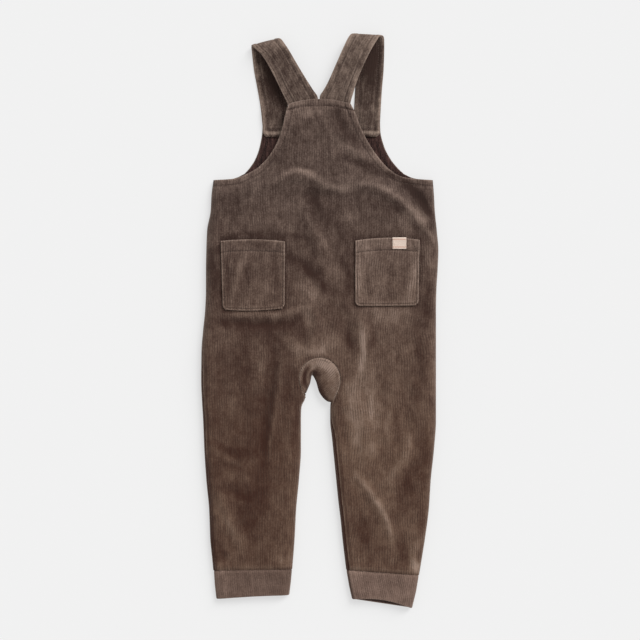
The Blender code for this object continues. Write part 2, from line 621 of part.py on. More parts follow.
def make_cuffs(material):
    """Cuff bands: a closed ring of points for each row, from the leg's end to the mouth."""
    upper_turns = np.array([0.0, 30.0, 60.0, 90.0]) * math.pi / 180
    lower_turns = np.array([90.0, 45.0]) * math.pi / 180
    for side, table in CUFFS.items():
        rows = []
        for number, row in enumerate(table):
            cuff = dict(zip(CUFF_COLUMNS, row))
            ends = ((cuff["left_x"], 1), (cuff["right_x"], -1))
            (left, right), (low_left, low_right) = (
                [edge + sign * reach * (1 - np.cos(turns)) for edge, sign in ends]
                for reach, turns in ((ROUND_ABOVE, upper_turns), (ROUND_BELOW, lower_turns))
            )
            rise = (cuff["height"] - SEAM_Z) * np.sin(upper_turns)
            top_x = np.concatenate([left, np.linspace(left[-1], right[-1], 6)[1:-1], right[::-1]])
            top_z = SEAM_Z + np.concatenate([rise, np.full(4, rise[-1]), rise[::-1]])
            base_middle = np.linspace(low_right[0], low_left[0], 5)[1:-1]
            base_x = np.concatenate([low_right[::-1], base_middle, low_left])
            fall = SEAM_Z * (1 - np.sin(lower_turns))
            base_z = np.concatenate([fall[::-1], np.zeros(3), fall])
            x, z = np.concatenate([top_x, base_x]), np.concatenate([top_z, base_z])
            across = (x - cuff["left_x"]) / (cuff["right_x"] - cuff["left_x"])
            y = cuff["left_y"] + (cuff["right_y"] - cuff["left_y"]) * across
            drawn = MOUTH_LIFT[side] * (number / (len(table) - 1)) ** 2
            y = y + drawn * np.sin(math.pi * across) * np.clip(z / SEAM_Z - 1, 0.0, 1.0)
            rows.append(np.column_stack([x, y, z]))
        points = np.array(rows)
        count = points.shape[1]
        index = np.arange(points.shape[0] * count).reshape(points.shape[:2])
        closed = np.hstack([index, index[:, :1]])
        cloth(f"cuff_{side}", points.reshape(-1, 3), quads(closed), material, CUFF_WALL)


def clear_scene():
    """Removes what the scene holds and makes the garment's collection."""
    for thing in list(bpy.data.objects):
        bpy.data.objects.remove(thing)
    bpy.context.scene.collection.children.link(bpy.data.collections.new("toddler_overalls"))


def main():
    """Builds every piece of the garment."""
    clear_scene()
    corduroy = principled("corduroy", (0.095, 0.062, 0.046), 0.95)
    band = principled("cuff_corduroy", (0.14, 0.095, 0.075), 0.95)
    woven = principled("woven_label", (0.72, 0.58, 0.50), 0.8)
    make_panels(corduroy)
    make_gusset(corduroy)
    make_pockets(corduroy)
    make_label(woven)
    make_straps(corduroy)
    make_cuffs(band)


main()
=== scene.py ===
"""Toddler overalls in fine-wale corduroy, laid flat with their back facing up.

The garment is built in millimetres and turned into metres as each mesh is made. Every sub-assembly
is a class that holds its sizes as fields and builds and dresses its own pieces.
"""
import logging
import math
from dataclasses import dataclass, field
from enum import Enum
from typing import Callable, Sequence

import bpy
import numpy as np
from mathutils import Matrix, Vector


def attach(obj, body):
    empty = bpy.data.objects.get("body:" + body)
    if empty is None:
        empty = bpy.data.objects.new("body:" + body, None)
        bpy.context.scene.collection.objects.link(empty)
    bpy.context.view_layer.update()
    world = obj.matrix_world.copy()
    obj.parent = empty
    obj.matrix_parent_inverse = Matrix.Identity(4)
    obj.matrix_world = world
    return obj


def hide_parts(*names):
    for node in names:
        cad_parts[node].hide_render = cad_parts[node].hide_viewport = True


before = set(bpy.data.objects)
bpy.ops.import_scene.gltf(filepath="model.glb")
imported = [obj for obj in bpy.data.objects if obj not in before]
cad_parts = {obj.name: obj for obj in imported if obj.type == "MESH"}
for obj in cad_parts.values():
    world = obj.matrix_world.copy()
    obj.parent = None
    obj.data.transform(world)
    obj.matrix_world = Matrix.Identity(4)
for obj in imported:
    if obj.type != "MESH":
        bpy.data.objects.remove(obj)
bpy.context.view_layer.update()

Array = np.ndarray
Colour = tuple[float, float, float]
Rows = Sequence[Sequence[float]]
Run = tuple[Array, Array]
HeightOf = Callable[[Array, Array], Array]
MM = 0.001
log = logging.getLogger("overalls")


# ---------------------------------------------------------------------------- sizes and tables (mm)

SIDES = {
    "y": (176, 157, 138, 113, 88, 63, 38, 13, -12, -37, -74, -99, -124, -161, -199, -236, -274, -299, -320),
    "left": (-133, -135.5, -136.5, -141, -142, -142.5, -142.5, -143.5, -146, -148, -148.5, -147.5, -146,
             -144.5, -142, -138.5, -137, -134.5, -132.5),
    "right": (141.5, 143, 144, 146.5, 148.5, 147.5, 146, 145.5, 145.5, 145.5, 145.5, 145.5, 145.5,
              143, 139, 136.5, 131.5, 127.5, 124),
}
INSEAMS = {
    "left": {"y": (-92, -99, -105, -111, -124, -161, -199, -236, -274, -312),
             "x": (-17.6, -18.8, -22, -23.2, -23.5, -23.5, -26, -29.5, -31.5, -34.5)},
    "right": {"y": (-103, -111, -124, -149, -174, -199, -224, -249, -274, -312),
              "x": (13.5, 13, 13, 15.5, 18, 20.5, 23, 26, 28.5, 33.0)},
}
LEG_ENDS = {"left": (-312.1, -310.5), "right": (-318.0, -311.5)}
BACK_ARMHOLE = {
    "left_seam_x": (-133, -121, -109, -99, -90),
    "right_seam_x": (141.5, 131, 120, 103, 94),
    "seam_y": (176, 176.5, 177.4, 180, 184),
    "y": (191, 206, 225, 243, 262, 271),
    "left": (-78, -63.5, -52.5, -46.5, -42, -38.5),
    "right": (85, 72, 59.5, 50.5, 43.2, 38.5),
    "middle_y": (190, 206, 224, 242, 261, 277),
}
FRONT_ARMHOLE = {
    "left_seam_x": (-133, -122, -112, -104, -94.5),
    "right_seam_x": (141.5, 132, 124, 115, 105.5),
    "seam_y": (176, 176.5, 177.4, 179.5, 184),
    "y": (190, 203, 219, 238, 253),
    "left": (-89, -80.5, -75, -72, -71.5),
    "right": (99, 88.5, 80.5, 76, 75.5),
    "middle_y": (191, 206, 222, 239, 254),
}
GUSSET_END = {"left": (-17.6, -92.0), "right": (13.5, -103.0)}
GUSSET_FOLD = {
    "share": (-1, -0.7, -0.35, 0, 0.25, 0.5, 0.75, 1),
    "x": (-17.6, -15.4, -12, -9.4, -5, -0.6, 6.4, 13.5),
    "y": (-92, -86.5, -78, -68.2, -75.3, -89.4, -98.6, -103),
}
LOFT = {
    "y": (277, 240, 180, 100, 0, -46, -100, -200, -280, -320),
    "z": (13.5, 14.0, 14.5, 15.0, 15.0, 16.0, 15.0, 14.0, 12.8, 11.6),
}
# Soft ridges and troughs along bent lines. The first table is the model's own and has no tone.
FOLD_COLUMNS = ("x0", "y0", "bend_x", "bend_y", "x1", "y1", "half_width", "height", "tone")
FOLDS = (
    (-88, 164, -30, 194, 24, 166, 14, 3.2),
    (6, 168, 75, 194, 142, 108, 15, 3.4),
    (-60, 152, -8, 160, 48, 146, 13, -2.0),
    (-34, 158, 14, 100, 2, 22, 17, 2.4),
    (96, 168, 122, 160, 136, 132, 12, -2.2),
    (-90, 160, -108, 140, -120, 104, 13, -1.6),
    (14, 236, 38, 224, 60, 200, 11, 1.8),
    (-120, -2, -66, -10, -16, 4, 12, -3.2),
    (-16, 22, 6, 4, -12, -30, 11, 2.6),
    (52, 0, 68, -35, 58, -76, 12, 3.4),
    (28, 4, 42, -14, 34, -42, 12, -2.6),
    (-54, -28, -74, -90, -72, -190, 13, -2.4),
    (-40, -38, -54, -92, -60, -142, 10, 2.2),
    (44, -100, 64, -126, 58, -184, 16, 2.4),
    (48, -194, 72, -226, 90, -266, 12, 2.8),
    (112, -148, 104, -186, 76, -214, 12, 2.2),
    (-130, -206, -112, -240, -100, -278, 12, 2.0),
    (100, -60, 112, -100, 104, -140, 15, -1.8),
)
# Finer creases; tone is how much lighter they are: painted highlights along ridges and painted shade in
# troughs.
CREASES = (
    (-54, 176, -28, 200, 0, 175, 5, 0.7, 0.95),
    (-6, 180, 18, 154, 54, 172, 6, 0.5, 0.75),
    (54, 171, 104, 170, 141, 100, 4.6, 0.4, 0.8),
    (97, 131, 106, 121, 112, 104, 7, 0.3, 0.75),
    (72, 156, 88, 150, 106, 134, 8, -0.2, -0.4),
    (118, 138, 138, 120, 145, 92, 7, 0.3, 0.3),
    (17, 226, 37, 213, 60, 201, 5, 0.7, 0.6),
    (17, 266, 28, 237, 53, 215, 8, -0.9, -0.75),
    (26, 204, 66, 194, 100, 172, 6, -0.6, -0.5),
    (44, 214, 60, 210, 76, 198, 5, 0.3, 0.5),
    (22, 240, 34, 226, 44, 216, 6, -0.3, -0.5),
    (90, 182, 128, 168, 143, 112, 7, -0.8, -1.0),
    (-20, 168, -10, 155, -2, 146, 8, -0.4, -0.25),
    (34, 158, 52, 152, 70, 144, 9, -0.3, -0.15),
    (-12, 156, -6, 142, 6, 130, 12, -0.5, -0.4),
    (-37, 245, -26, 254, -10, 241, 10, -0.3, -0.35),
    (-35, 266, -13, 256, 13, 266, 8, 0.3, 0.4),
    (-46, 250, -31, 254, -14, 250, 9, 0.2, 0.45),
    (32, 136, 35, 131, 35, 121, 9, 0.5, 0.6),
    (-27, 145, -5, 118, 28, 47, 8, 0.4, 0.4),
    (-62, 157, -61, 137, -25, 147, 14, 0.2, 0.3),
    (-115, 163, -111, 150, -102, 131, 12, -0.3, -0.3),
    (-93, 121, -59, 127, -37, 118, 9, 0.2, 0.25),
    (-118, 103, -109, 113, -12, 103, 5, -0.7, -0.6),
    (-42, 82, -14, 70, 15, 38, 9, -0.8, -0.75),
    (13, 123, 37, 123, 40, 73, 9, -0.4, -0.35),
    (30, 118, 37, 106, 39, 92, 6, 0.2, 0.45),
    (20, 204, 30, 198, 42, 192, 6, 0.2, 0.4),
    (28, 78, 39, 50, 35, 26, 8, -0.6, -0.6),
    (-30, 43, -18, 50, -2, 21, 9, 0.6, 0.4),
    (13, 41, 27, 31, 15, 21, 9, -0.3, -0.35),
    (2, 62, 6, 46, 4, 28, 7, -0.3, -0.45),
    (-17, 20, -14, 8, -12, -6, 7, 0.5, 0.95),
    (-133, 91, -133, 63, -130, 26, 8, -0.7, -0.6),
    (-122, 113, -133, 101, -140, 88, 10, 0.2, 0.3),
    (62, 148, 82, 144, 94, 130, 8, -0.2, -0.3),
    (104, 150, 108, 136, 110, 118, 6, 0.2, 0.35),
    (135, 48, 134, 28, 133, -2, 7, -0.8, -0.7),
    (133, 93, 138, 75, 142, 51, 6, 0.5, 0.5),
    (-100, 10, -57, 5, -10, 18, 5, 0.8, 0.6),
    (-96, 0, -69, -15, -15, 0, 8, -0.4, -0.5),
    (-128, 3, -112, -6, -92, -6, 9, -0.3, -0.7),
    (-12, -42, 0, -38, 14, -44, 6, 0.2, 0.45),
    (-26, -6, -22, -12, -22, -26, 6, -0.6, -0.45),
    (-41, -17, -35, -52, 13, -32, 8, 0.9, 0.7),
    (-40, -40, -42, -80, -39, -128, 6, -0.2, -0.4),
    (8, -12, 14, -17, 25, -30, 9, 0.4, 0.4),
    (23, -4, 40, -24, 48, -44, 9, -0.5, -0.5),
    (53, -2, 55.5, -28, 52.5, -64, 5, 0.8, 1.55),
    (63, 4, 66, -20, 62, -46, 5, -0.4, -0.75),
    (54, -64, 27, -84, 53, -164, 14, 0.6, 0.5),
    (60, -74, 73, -104, 65, -164, 9, 0.6, 0.5),
    (92, -104, 98, -130, 93, -158, 6, -0.6, -0.4),
    (72, -95, 82, -104, 92, -108, 6, -0.2, -0.4),
    (109, -138, 112, -158, 108, -178, 6, 0.2, 0.35),
    (86, -106, 88, -130, 84, -156, 6, 0.3, 0.4),
    (65, -17, 90, -12, 115, -7, 9, 0.2, 0.2),
    (121, 22, 130, -50, 118, -104, 8, -0.5, -0.45),
    (140, -26, 144, -60, 141, -92, 5, 0.1, 0.35),
    (-72, -22, -70, -48, -77, -89, 7, 0.7, 0.5),
    (-91, -12, -97, -38, -92, -68, 8, -0.7, -0.35),
    (-114, -56, -112, -84, -106, -112, 10, 0.3, 0.4),
    (-53, -39, -60, -104, -70, -160, 5, -0.3, -0.5),
    (-67, -137, -70, -187, -68, -237, 7, -0.2, -0.15),
    (-27, -98, -31, -140, -33, -186, 6, -0.3, -0.55),
    (-53, -106, -60, -134, -63, -172, 3.4, 0.2, 0.35),
    (-40, -99, -37, -149, -35, -199, 9, 0.4, 0.2),
    (-135, -149, -103, -169, -77, -169, 6, -0.5, -0.3),
    (-135, -159, -113, -182, -87, -178, 5, 0.4, 0.35),
    (-122, -192, -100, -190, -87, -204, 8, 0.6, 0.4),
    (-132, -207, -105, -213, -77, -224, 8, -0.5, -0.35),
    (-128, -219, -116, -249, -96, -284, 8, 0.4, 0.42),
    (-135, -262, -131, -294, -102, -309, 9, -0.7, -0.45),
    (-96, -236, -88, -258, -82, -284, 14, -0.4, -0.35),
    (-56, -296, -46, -298, -36, -300, 9, 0.3, 0.6),
    (110, -142, 117, -174, 73, -207, 6, 0.7, 0.4),
    (44, -188, 62, -212, 76, -232, 6, 0.7, 0.55),
    (70, -224, 82, -242, 87, -264, 4.4, 0.6, 0.85),
    (83, -249, 93, -273, 88, -302, 6, 0.6, 0.45),
    (115, -177, 109, -214, 98, -242, 11, -0.8, -0.5),
    (45, -234, 53, -257, 60, -299, 10, -0.5, -0.35),
    (103, -272, 104, -289, 110, -307, 7, -0.6, -0.4),
    (121, -276, 113, -294, 120, -312, 7, 0.9, 0.95),
    (128, -236, 130, -252, 125, -270, 6, -0.4, -0.6),
    (25, -94, 27, -120, 33, -162, 6, -0.5, -0.35),
    (64, -97, 65, -108, 63, -121, 3.6, 0.3, 0.65),
    (132, -124, 133, -174, 123, -224, 9, -0.4, -0.3),
)
# The front's are raised up from its outer face. The gusset's have no height and only paint light
# and shade: painted shadow in the crease of its fold and painted light on its lit side.
FRONT_CREASES = (
    (-96, 150, -40, 168, 10, 146, 12, 0.8, -0.4),
    (20, 150, 74, 160, 126, 118, 12, 0.9, -0.45),
    (-118, 96, -70, 112, -26, 92, 10, 0.5, 0.35),
    (-30, 66, 6, 84, 60, 60, 13, 0.8, -0.4),
    (70, 96, 104, 70, 112, 28, 12, 0.7, 0.4),
    (-124, 40, -104, 10, -112, -28, 12, 0.6, -0.35),
    (-70, 20, -30, 2, 4, 14, 11, 0.9, -0.5),
    (8, -6, 40, -18, 66, -2, 10, 0.7, 0.4),
    (-60, -40, -84, -84, -76, -150, 14, 0.8, -0.4),
    (-44, -120, -58, -160, -50, -214, 11, 0.6, 0.35),
    (-122, -170, -96, -196, -70, -196, 10, 0.6, -0.35),
    (-116, -226, -98, -256, -66, -268, 11, 0.7, 0.4),
    (58, -56, 84, -104, 70, -166, 13, 0.9, -0.45),
    (116, -110, 120, -150, 98, -196, 11, 0.6, 0.35),
    (44, -196, 74, -226, 92, -270, 12, 0.8, -0.4),
    (108, -236, 92, -262, 74, -280, 10, 0.5, 0.3),
)
GUSSET_CREASES = (
    (-15.8, -84, -23.5, -68, -13.4, -57, 3.4, 0, -1.5),
    (-14.7, -76, -15.0, -62, -4, -57, 3.2, 0, 0.6),
    (-12.5, -71, -9.5, -59, -1.5, -69, 4.0, 0, -1.5),
    (-10, -55, 4, -49, 20, -62, 7.5, 0, 1.5),
    (4, -55, 14, -60, 16, -72, 6.0, 0, 0.7),
    (16, -66, 22, -78, 18, -92, 7.0, 0, 0.3),
    (-1, -66, 5, -78, 8, -92, 7.0, 0, -0.3),
    (-1, -76, 1, -93, 12, -102, 4.5, 0, -0.9),
)
# Patches of tone where the pile is brushed, some of them painted light and shade as marked: x, y,
# how far it reaches in x and in y, and its tone.
TONE_PATCHES = (
    (-60, -20, 70, 40, -0.15),
    # Painted shade over the left leg, as lit from the right.
    (-90, -140, 75, 190, -0.40),
    # Painted light over the right leg, as lit from the right.
    (70, -130, 60, 150, 0.24),
    (42, -156, 22, 46, 0.28),
    (48, -84, 28, 20, 0.40),
    (120, -309, 16, 16, 0.85),
    (125, 160, 30, 40, -0.15),
    (-130, 80, 26, 110, -0.20),
    (0, 120, 150, 100, -0.20),
    (130, -10, 24, 120, -0.08),
    (88, 8, 52, 20, 0.66),
    (-6, -30, 24, 15, 0.45),
    # Painted shade over the lower left leg.
    (-88, -235, 30, 70, -0.26),
    (-78, -20, 46, 26, -0.14),
    (-2, -48, 14, 8, 0.30),
    (-122, -308, 12, 4, -0.50),
    (-8, 33, 7, 11, 0.40),
    (44, -147, 7, 17, 0.30),
    (70, -146, 9, 13, -0.22),
    (58, -8, 5, 5, 0.40),
    (-37, -295, 7, 20, 0.45),
    (54, -183, 10, 15, 0.28),
    (20, 200, 26, 26, -0.12),
)
POCKETS = {
    "left": {"top": (99.5, 101.5, 99.0), "bottom": (13.5, 12.5, 15.0), "x_top": (-123.5, -43.5),
             "x_bottom": (-121.0, -44.0), "hem": 14.0, "base_tone": 0.03, "creases": (
                 (-93, 88, -100, 62, -110, 24, 6, 0.6, 0.5),
                 (-109, 96, -107, 84, -105, 66, 5, -0.2, -0.4),
                 (-117, 86, -114, 60, -116, 32, 7, -0.4, -0.55),
                 (-84, 76, -92, 52, -96, 28, 7, -0.4, -0.3),
                 (-74, 20, -66, 44, -62, 70, 8, 0.5, 0.3),
                 (-58, 84, -56, 60, -52, 40, 6, -0.4, -0.35),
                 (-104, 97, -86, 90, -56, 96, 6, -0.2, -0.2))},
    # The right pocket's base tone is painted lighter, as lit from the right.
    "right": {"top": (100.0, 103.5, 101.0), "bottom": (18.5, 18.5, 19.0), "x_top": (44.5, 124.5),
              "x_bottom": (44.0, 123.0), "hem": 15.0, "base_tone": 0.36, "creases": (
                  (50, 97, 56, 90, 66, 84, 10, 0.3, 0.4),
                  (52, 76, 48, 50, 52, 24, 11, 0.6, 0.55),
                  (84, 74, 92, 52, 86, 26, 10, -0.5, -0.4),
                  (121, 84, 117, 52, 109, 20, 7, 0.8, 0.75),
                  (109, 78, 108, 54, 100, 30, 5, -0.3, -0.3),
                  (110, 102, 116, 92, 114, 76, 6, 0.2, 0.4),
                  (102, 80, 104, 56, 96, 38, 6, -0.4, -0.25))},
}
# Outer edge's x, y, z and inner edge's, from inside the bib round the fold to the back's band.
STRAPS = {
    "left": (
        (-67.0, 230.2, 2.1, -39.5, 229.6, 2.1),
        (-70.4, 234.0, 2.1, -36.8, 233.4, 2.1),
        (-71.8, 244.5, 2.1, -37.9, 244.5, 2.1),
        (-73.0, 257.0, 2.1, -39.0, 259.5, 2.1),
        (-74.6, 270.0, 0.3, -40.4, 273.5, 0.3),
        (-78.6, 293.0, 0.0, -43.6, 299.0, 0.0),
        (-82.6, 315.0, 0.0, -47.5, 323.5, 0.0),
        (-85.2, 337.5, 0.0, -50.8, 346.5, 0.0),
        (-85.8, 342.8, 2.0, -51.6, 351.9, 2.0),
        (-85.7, 345.4, 7.0, -51.2, 354.2, 7.0),
        (-83.6, 343.0, 12.0, -48.8, 352.8, 12.0),
        (-79.5, 338.6, 14.6, -44.8, 347.5, 14.6),
        (-73.2, 332.5, 15.6, -39.8, 340.0, 15.6),
        (-60.5, 312.0, 15.4, -29.0, 321.6, 15.2),
        (-48.6, 288.0, 13.8, -16.0, 300.2, 13.6),
        (-43.8, 278.2, 12.5, -8.8, 289.0, 12.5),
        (-40.2, 270.5, 11.4, -2.4, 278.6, 11.4),
        (-36.5, 259.5, 11.2, -1.8, 265.5, 11.2),
    ),
    "right": (
        (71.5, 230.4, 2.1, 44.0, 230.4, 2.1),
        (74.8, 234.4, 2.1, 41.4, 234.4, 2.1),
        (75.4, 245.0, 2.1, 42.0, 245.0, 2.1),
        (76.0, 257.5, 2.1, 42.6, 257.5, 2.1),
        (76.8, 271.0, 0.3, 43.2, 271.0, 0.3),
        (78.0, 290.0, 0.0, 44.2, 290.5, 0.0),
        (80.2, 317.0, 0.0, 45.8, 319.0, 0.0),
        (80.9, 345.0, 0.0, 45.9, 348.0, 0.0),
        (80.8, 352.6, 2.2, 44.8, 355.0, 2.2),
        (79.0, 357.4, 7.2, 42.8, 359.5, 7.2),
        (76.0, 357.0, 12.0, 40.0, 359.2, 12.0),
        (72.3, 351.6, 15.0, 36.2, 354.6, 15.0),
        (64.6, 338.9, 16.2, 29.5, 341.0, 16.2),
        (55.0, 319.6, 15.6, 20.4, 320.6, 15.4),
        (45.3, 295.6, 13.8, 9.8, 297.0, 13.6),
        (42.0, 284.6, 12.5, 4.4, 287.4, 12.5),
        (39.2, 275.2, 11.4, 0.0, 279.6, 11.4),
        (36.5, 262.5, 11.2, 0.8, 266.5, 11.2),
    ),
}
# Left x and y, right x and y, and height at a cuff's seam, its middle and its mouth.
CUFFS = {
    "left": (
        (-132.6, -312.4, -34.7, -310.8, 11.6),
        (-131.4, -330.0, -36.2, -327.5, 11.4),
        (-129.4, -348.0, -38.2, -343.2, 10.8),
    ),
    "right": (
        (33.2, -311.8, 124.0, -318.3, 11.6),
        (36.6, -331.0, 120.6, -339.0, 11.8),
        (40.5, -348.4, 115.5, -359.6, 12.2),
    ),
}
MOUTH_LIFT = {"left": 0.8, "right": 5.2}
# Each strap's base tone before and after the fold, and the painted shadow on its inner face before the fold:
# between two shares of the width and between two lengths.
STRAP_TONES = {
    "left": {"base_tone": (0.16, -0.14), "shade": (0.0, 0.7, 4.0, 62.0)},
    "right": {"base_tone": (0.16, 0.20), "shade": (-1.0, 0.7, 20.0, 112.0)},
}
# The right cuff's base tone is painted lighter, as lit from the right.
CUFF_TONES = {"left": -0.02, "right": 0.22}

# Distances in from a hemmed edge at which its points lie: close together over the sewn groove.
HEM_STEPS = (0.0, 0.5, 1.1, 2.0, 3.2, 4.6, 5.8, 6.7, 7.4, 8.0, 8.6, 9.3, 10.4, 12.0)

# A stitch's rings: place along it and share of its radius, and how far up in thread thicknesses.
STITCH_RINGS = (
    (-0.5, 0.25, -0.45), (-0.36, 0.85, 0.1), (0.0, 1.0, 0.3), (0.36, 0.85, 0.1), (0.5, 0.25, -0.45),
)


class Side(Enum):
    """Left and right as they lie; the value is the side's sign in x."""

    LEFT = -1.0
    RIGHT = 1.0

    @property
    def key(self) -> str:
        """The side's name in the tables."""
        return self.name.lower()


class Edge(Enum):
    """The seamed edges of a leg."""

    OUTER = "outer"
    INNER = "inner"


# Degrees up the rounded edge at which a rolled seam lies, and how far down that begins and is full.
ROLLED_SEAMS = {
    (Side.LEFT, Edge.OUTER): (38.0, 10.0, 70.0),
    (Side.RIGHT, Edge.INNER): (50.0, 103.0, 145.0),
}


# ---------------------------------------------------------------------------- plain numeric functions


def steady(knots: Sequence[float], values: Sequence[float], at: Array | float) -> Array:
    """Values between knots on a monotone cubic curve, which never overshoots its knots.

    Args:
        knots: places, rising or falling.
        values: the value at each knot.
        at: where the curve is read.

    Returns:
        The curve's values, shaped as at.
    """
    knots, values, at = (np.asarray(part, float) for part in (knots, values, at))
    if knots[0] > knots[-1]:
        knots, values = knots[::-1], values[::-1]
    widths = np.diff(knots)
    slopes = np.diff(values) / widths
    tangents = np.zeros_like(values)
    tangents[0], tangents[-1] = slopes[0], slopes[-1]
    before, after = 2 * widths[1:] + widths[:-1], widths[1:] + 2 * widths[:-1]
    with np.errstate(divide="ignore", invalid="ignore"):
        blended = (before + after) / (before / slopes[:-1] + after / slopes[1:])
    tangents[1:-1] = np.where(slopes[:-1] * slopes[1:] > 0, blended, 0.0)
    cell = np.clip(np.searchsorted(knots, at) - 1, 0, len(knots) - 2)
    share = (np.clip(at, knots[0], knots[-1]) - knots[cell]) / widths[cell]
    return (
        values[cell] * (1 + 2 * share) * (1 - share) ** 2
        + values[cell + 1] * share**2 * (3 - 2 * share)
        + tangents[cell] * widths[cell] * share * (1 - share) ** 2
        + tangents[cell + 1] * widths[cell] * share**2 * (share - 1)
    )


def mix(start: Array | float, end: Array | float, share: Array | float) -> Array:
    """What lies at a share of the way from start to end."""
    return start + (end - start) * share


def ease(value: Array | float, low: float, high: float) -> Array:
    """0 at low and 1 at high with level ends: 3s^2 - 2s^3 of the share s between them."""
    share = np.clip((np.asarray(value, float) - low) / (high - low), 0.0, 1.0)
    return share * share * (3 - 2 * share)


def bell(distance: Array, half_width: float) -> Array:
    """Raised cosine: 1 at no distance, 0 from half_width on."""
    return 0.5 * (1 + np.cos(math.pi * np.clip(np.abs(distance) / half_width, 0.0, 1.0)))


def rounding(distance: Array, reach: float) -> Array:
    """Height share of a rounded edge: a quarter ellipse over reach, then level."""
    share = np.clip(np.asarray(distance, float) / reach, 0.0, 1.0)
    return np.sqrt(1 - (1 - share) ** 2)


def ripples(x: Array, y: Array, *waves: tuple[float, float, float]) -> Array:
    """Slow uneven waves: each the mean of four crossed sines of about one length, times its height.

    Args:
        x: places across.
        y: places along.
        waves: the height, the length and the seed of each.

    Returns:
        Their sum at each place.
    """
    total = np.zeros(np.broadcast(x, y).shape)
    for height, length, seed in waves:
        for turn, stretch, phase in ((0.3, 1.0, 0.4), (1.4, 1.27, 2.1), (2.3, 0.83, 4.0), (0.9, 1.61, 5.3)):
            turn, phase = turn + 1.7 * seed, phase + 2.9 * seed
            along = x * math.cos(turn) + y * math.sin(turn)
            total = total + height * np.sin(2 * math.pi * stretch * along / length + phase) / 4
    return total


def puckers(along: Array, length: float, sway: float, drift: float) -> Array:
    """Waves along a seam: the sine of the place over length, swayed by a slow sine over drift."""
    return np.sin(along / length + sway * np.sin(along / drift))


def passed_along(points: Array, axis: int = 0) -> Array:
    """Length along points, from 0 at the first: their steps' lengths added up along an axis."""
    steps = np.linalg.norm(np.diff(points, axis=axis), axis=-1)
    return np.concatenate([np.zeros_like(np.take(steps, [0], axis)), np.cumsum(steps, axis)], axis)


def unit(vectors: Array) -> Array:
    """Vectors brought to length 1 along their last axis."""
    return vectors / np.maximum(np.linalg.norm(vectors, axis=-1, keepdims=True), 1e-12)


def from_line(x: Array, y: Array, line: Array) -> tuple[Array, Array]:
    """Distance from a line of straight segments, and the length along it to the nearest place.

    Args:
        x: places across.
        y: places along, shaped as x.
        line: the line's points, one a row.

    Returns:
        The distance and the length along the line, each shaped as x.
    """
    start, step = line[:-1], np.diff(line, axis=0)
    lengths = np.linalg.norm(step, axis=1)
    points = np.stack([np.ravel(x), np.ravel(y)], axis=1)[:, None, :] - start
    share = np.clip((points * step).sum(-1) / np.maximum(lengths, 1e-9) ** 2, 0.0, 1.0)
    away = np.linalg.norm(points - share[..., None] * step, axis=-1)
    nearest = away.argmin(axis=1)
    pick = np.arange(len(nearest))
    along = passed_along(line)[nearest] + share[pick, nearest] * lengths[nearest]
    return away[pick, nearest].reshape(np.shape(x)), along.reshape(np.shape(x))


def drawn(points: Array, count: int) -> Array:
    """Points of a smooth curve through rows of values, evenly spaced by length in their space."""
    passed = passed_along(points)
    at = np.linspace(0.0, passed[-1], count)
    return np.stack([steady(passed, column, at) for column in points.T], axis=1)


def beside(line: Array, distance: float) -> Array:
    """A line moved to its left: each point plus the turned step between its neighbours."""
    step = np.gradient(line, axis=0)
    return line + distance * unit(np.column_stack([-step[:, 1], step[:, 0]]))


def quads(index: Array, turned: bool = False) -> Array:
    """Faces of a grid of vertex numbers, facing +Z for rows from +Y down and columns from -X."""
    corners = (index[:-1, :-1], index[1:, :-1], index[1:, 1:], index[:-1, 1:])
    faces = np.stack([corner.ravel() for corner in corners], axis=1)
    return faces[:, ::-1] if turned else faces


def face_vectors(points: Array, faces: Array) -> Array:
    """Each face's normal, twice as long as its area: the cross product of its diagonals."""
    first, second, third, fourth = (points[faces[:, corner]] for corner in range(4))
    return np.cross(third - first, fourth - second)


def vertex_normals(points: Array, faces: Array) -> Array:
    """Unit normals: the sum at every vertex of its faces' own."""
    across = face_vectors(points, faces)
    normals = np.zeros_like(points)
    for corner in range(4):
        np.add.at(normals, faces[:, corner], across)
    return unit(normals)


@dataclass(frozen=True)
class Profile:
    """How a height or a tone runs with the distance from an edge or a seam, as a sum of terms.

    A fade is full up to one distance and gone at another, a swell is a raised cosine of a half
    width round a distance, and a rounding falls to the edge on a quarter ellipse over its reach.
    Every term begins with its weight.
    """

    fades: Rows = ()
    swells: Rows = ()
    roundings: Rows = ()

    def __call__(self, distance: Array) -> Array:
        """The sum of the terms at each distance."""
        total = sum(weight * (1 - ease(distance, low, high)) for weight, low, high in self.fades)
        total += sum(weight * bell(distance - middle, half) for weight, middle, half in self.swells)
        return total + sum(weight * (1 - rounding(distance, reach)) for weight, reach in self.roundings)


# ---------------------------------------------------------------------------- the laid garment's form


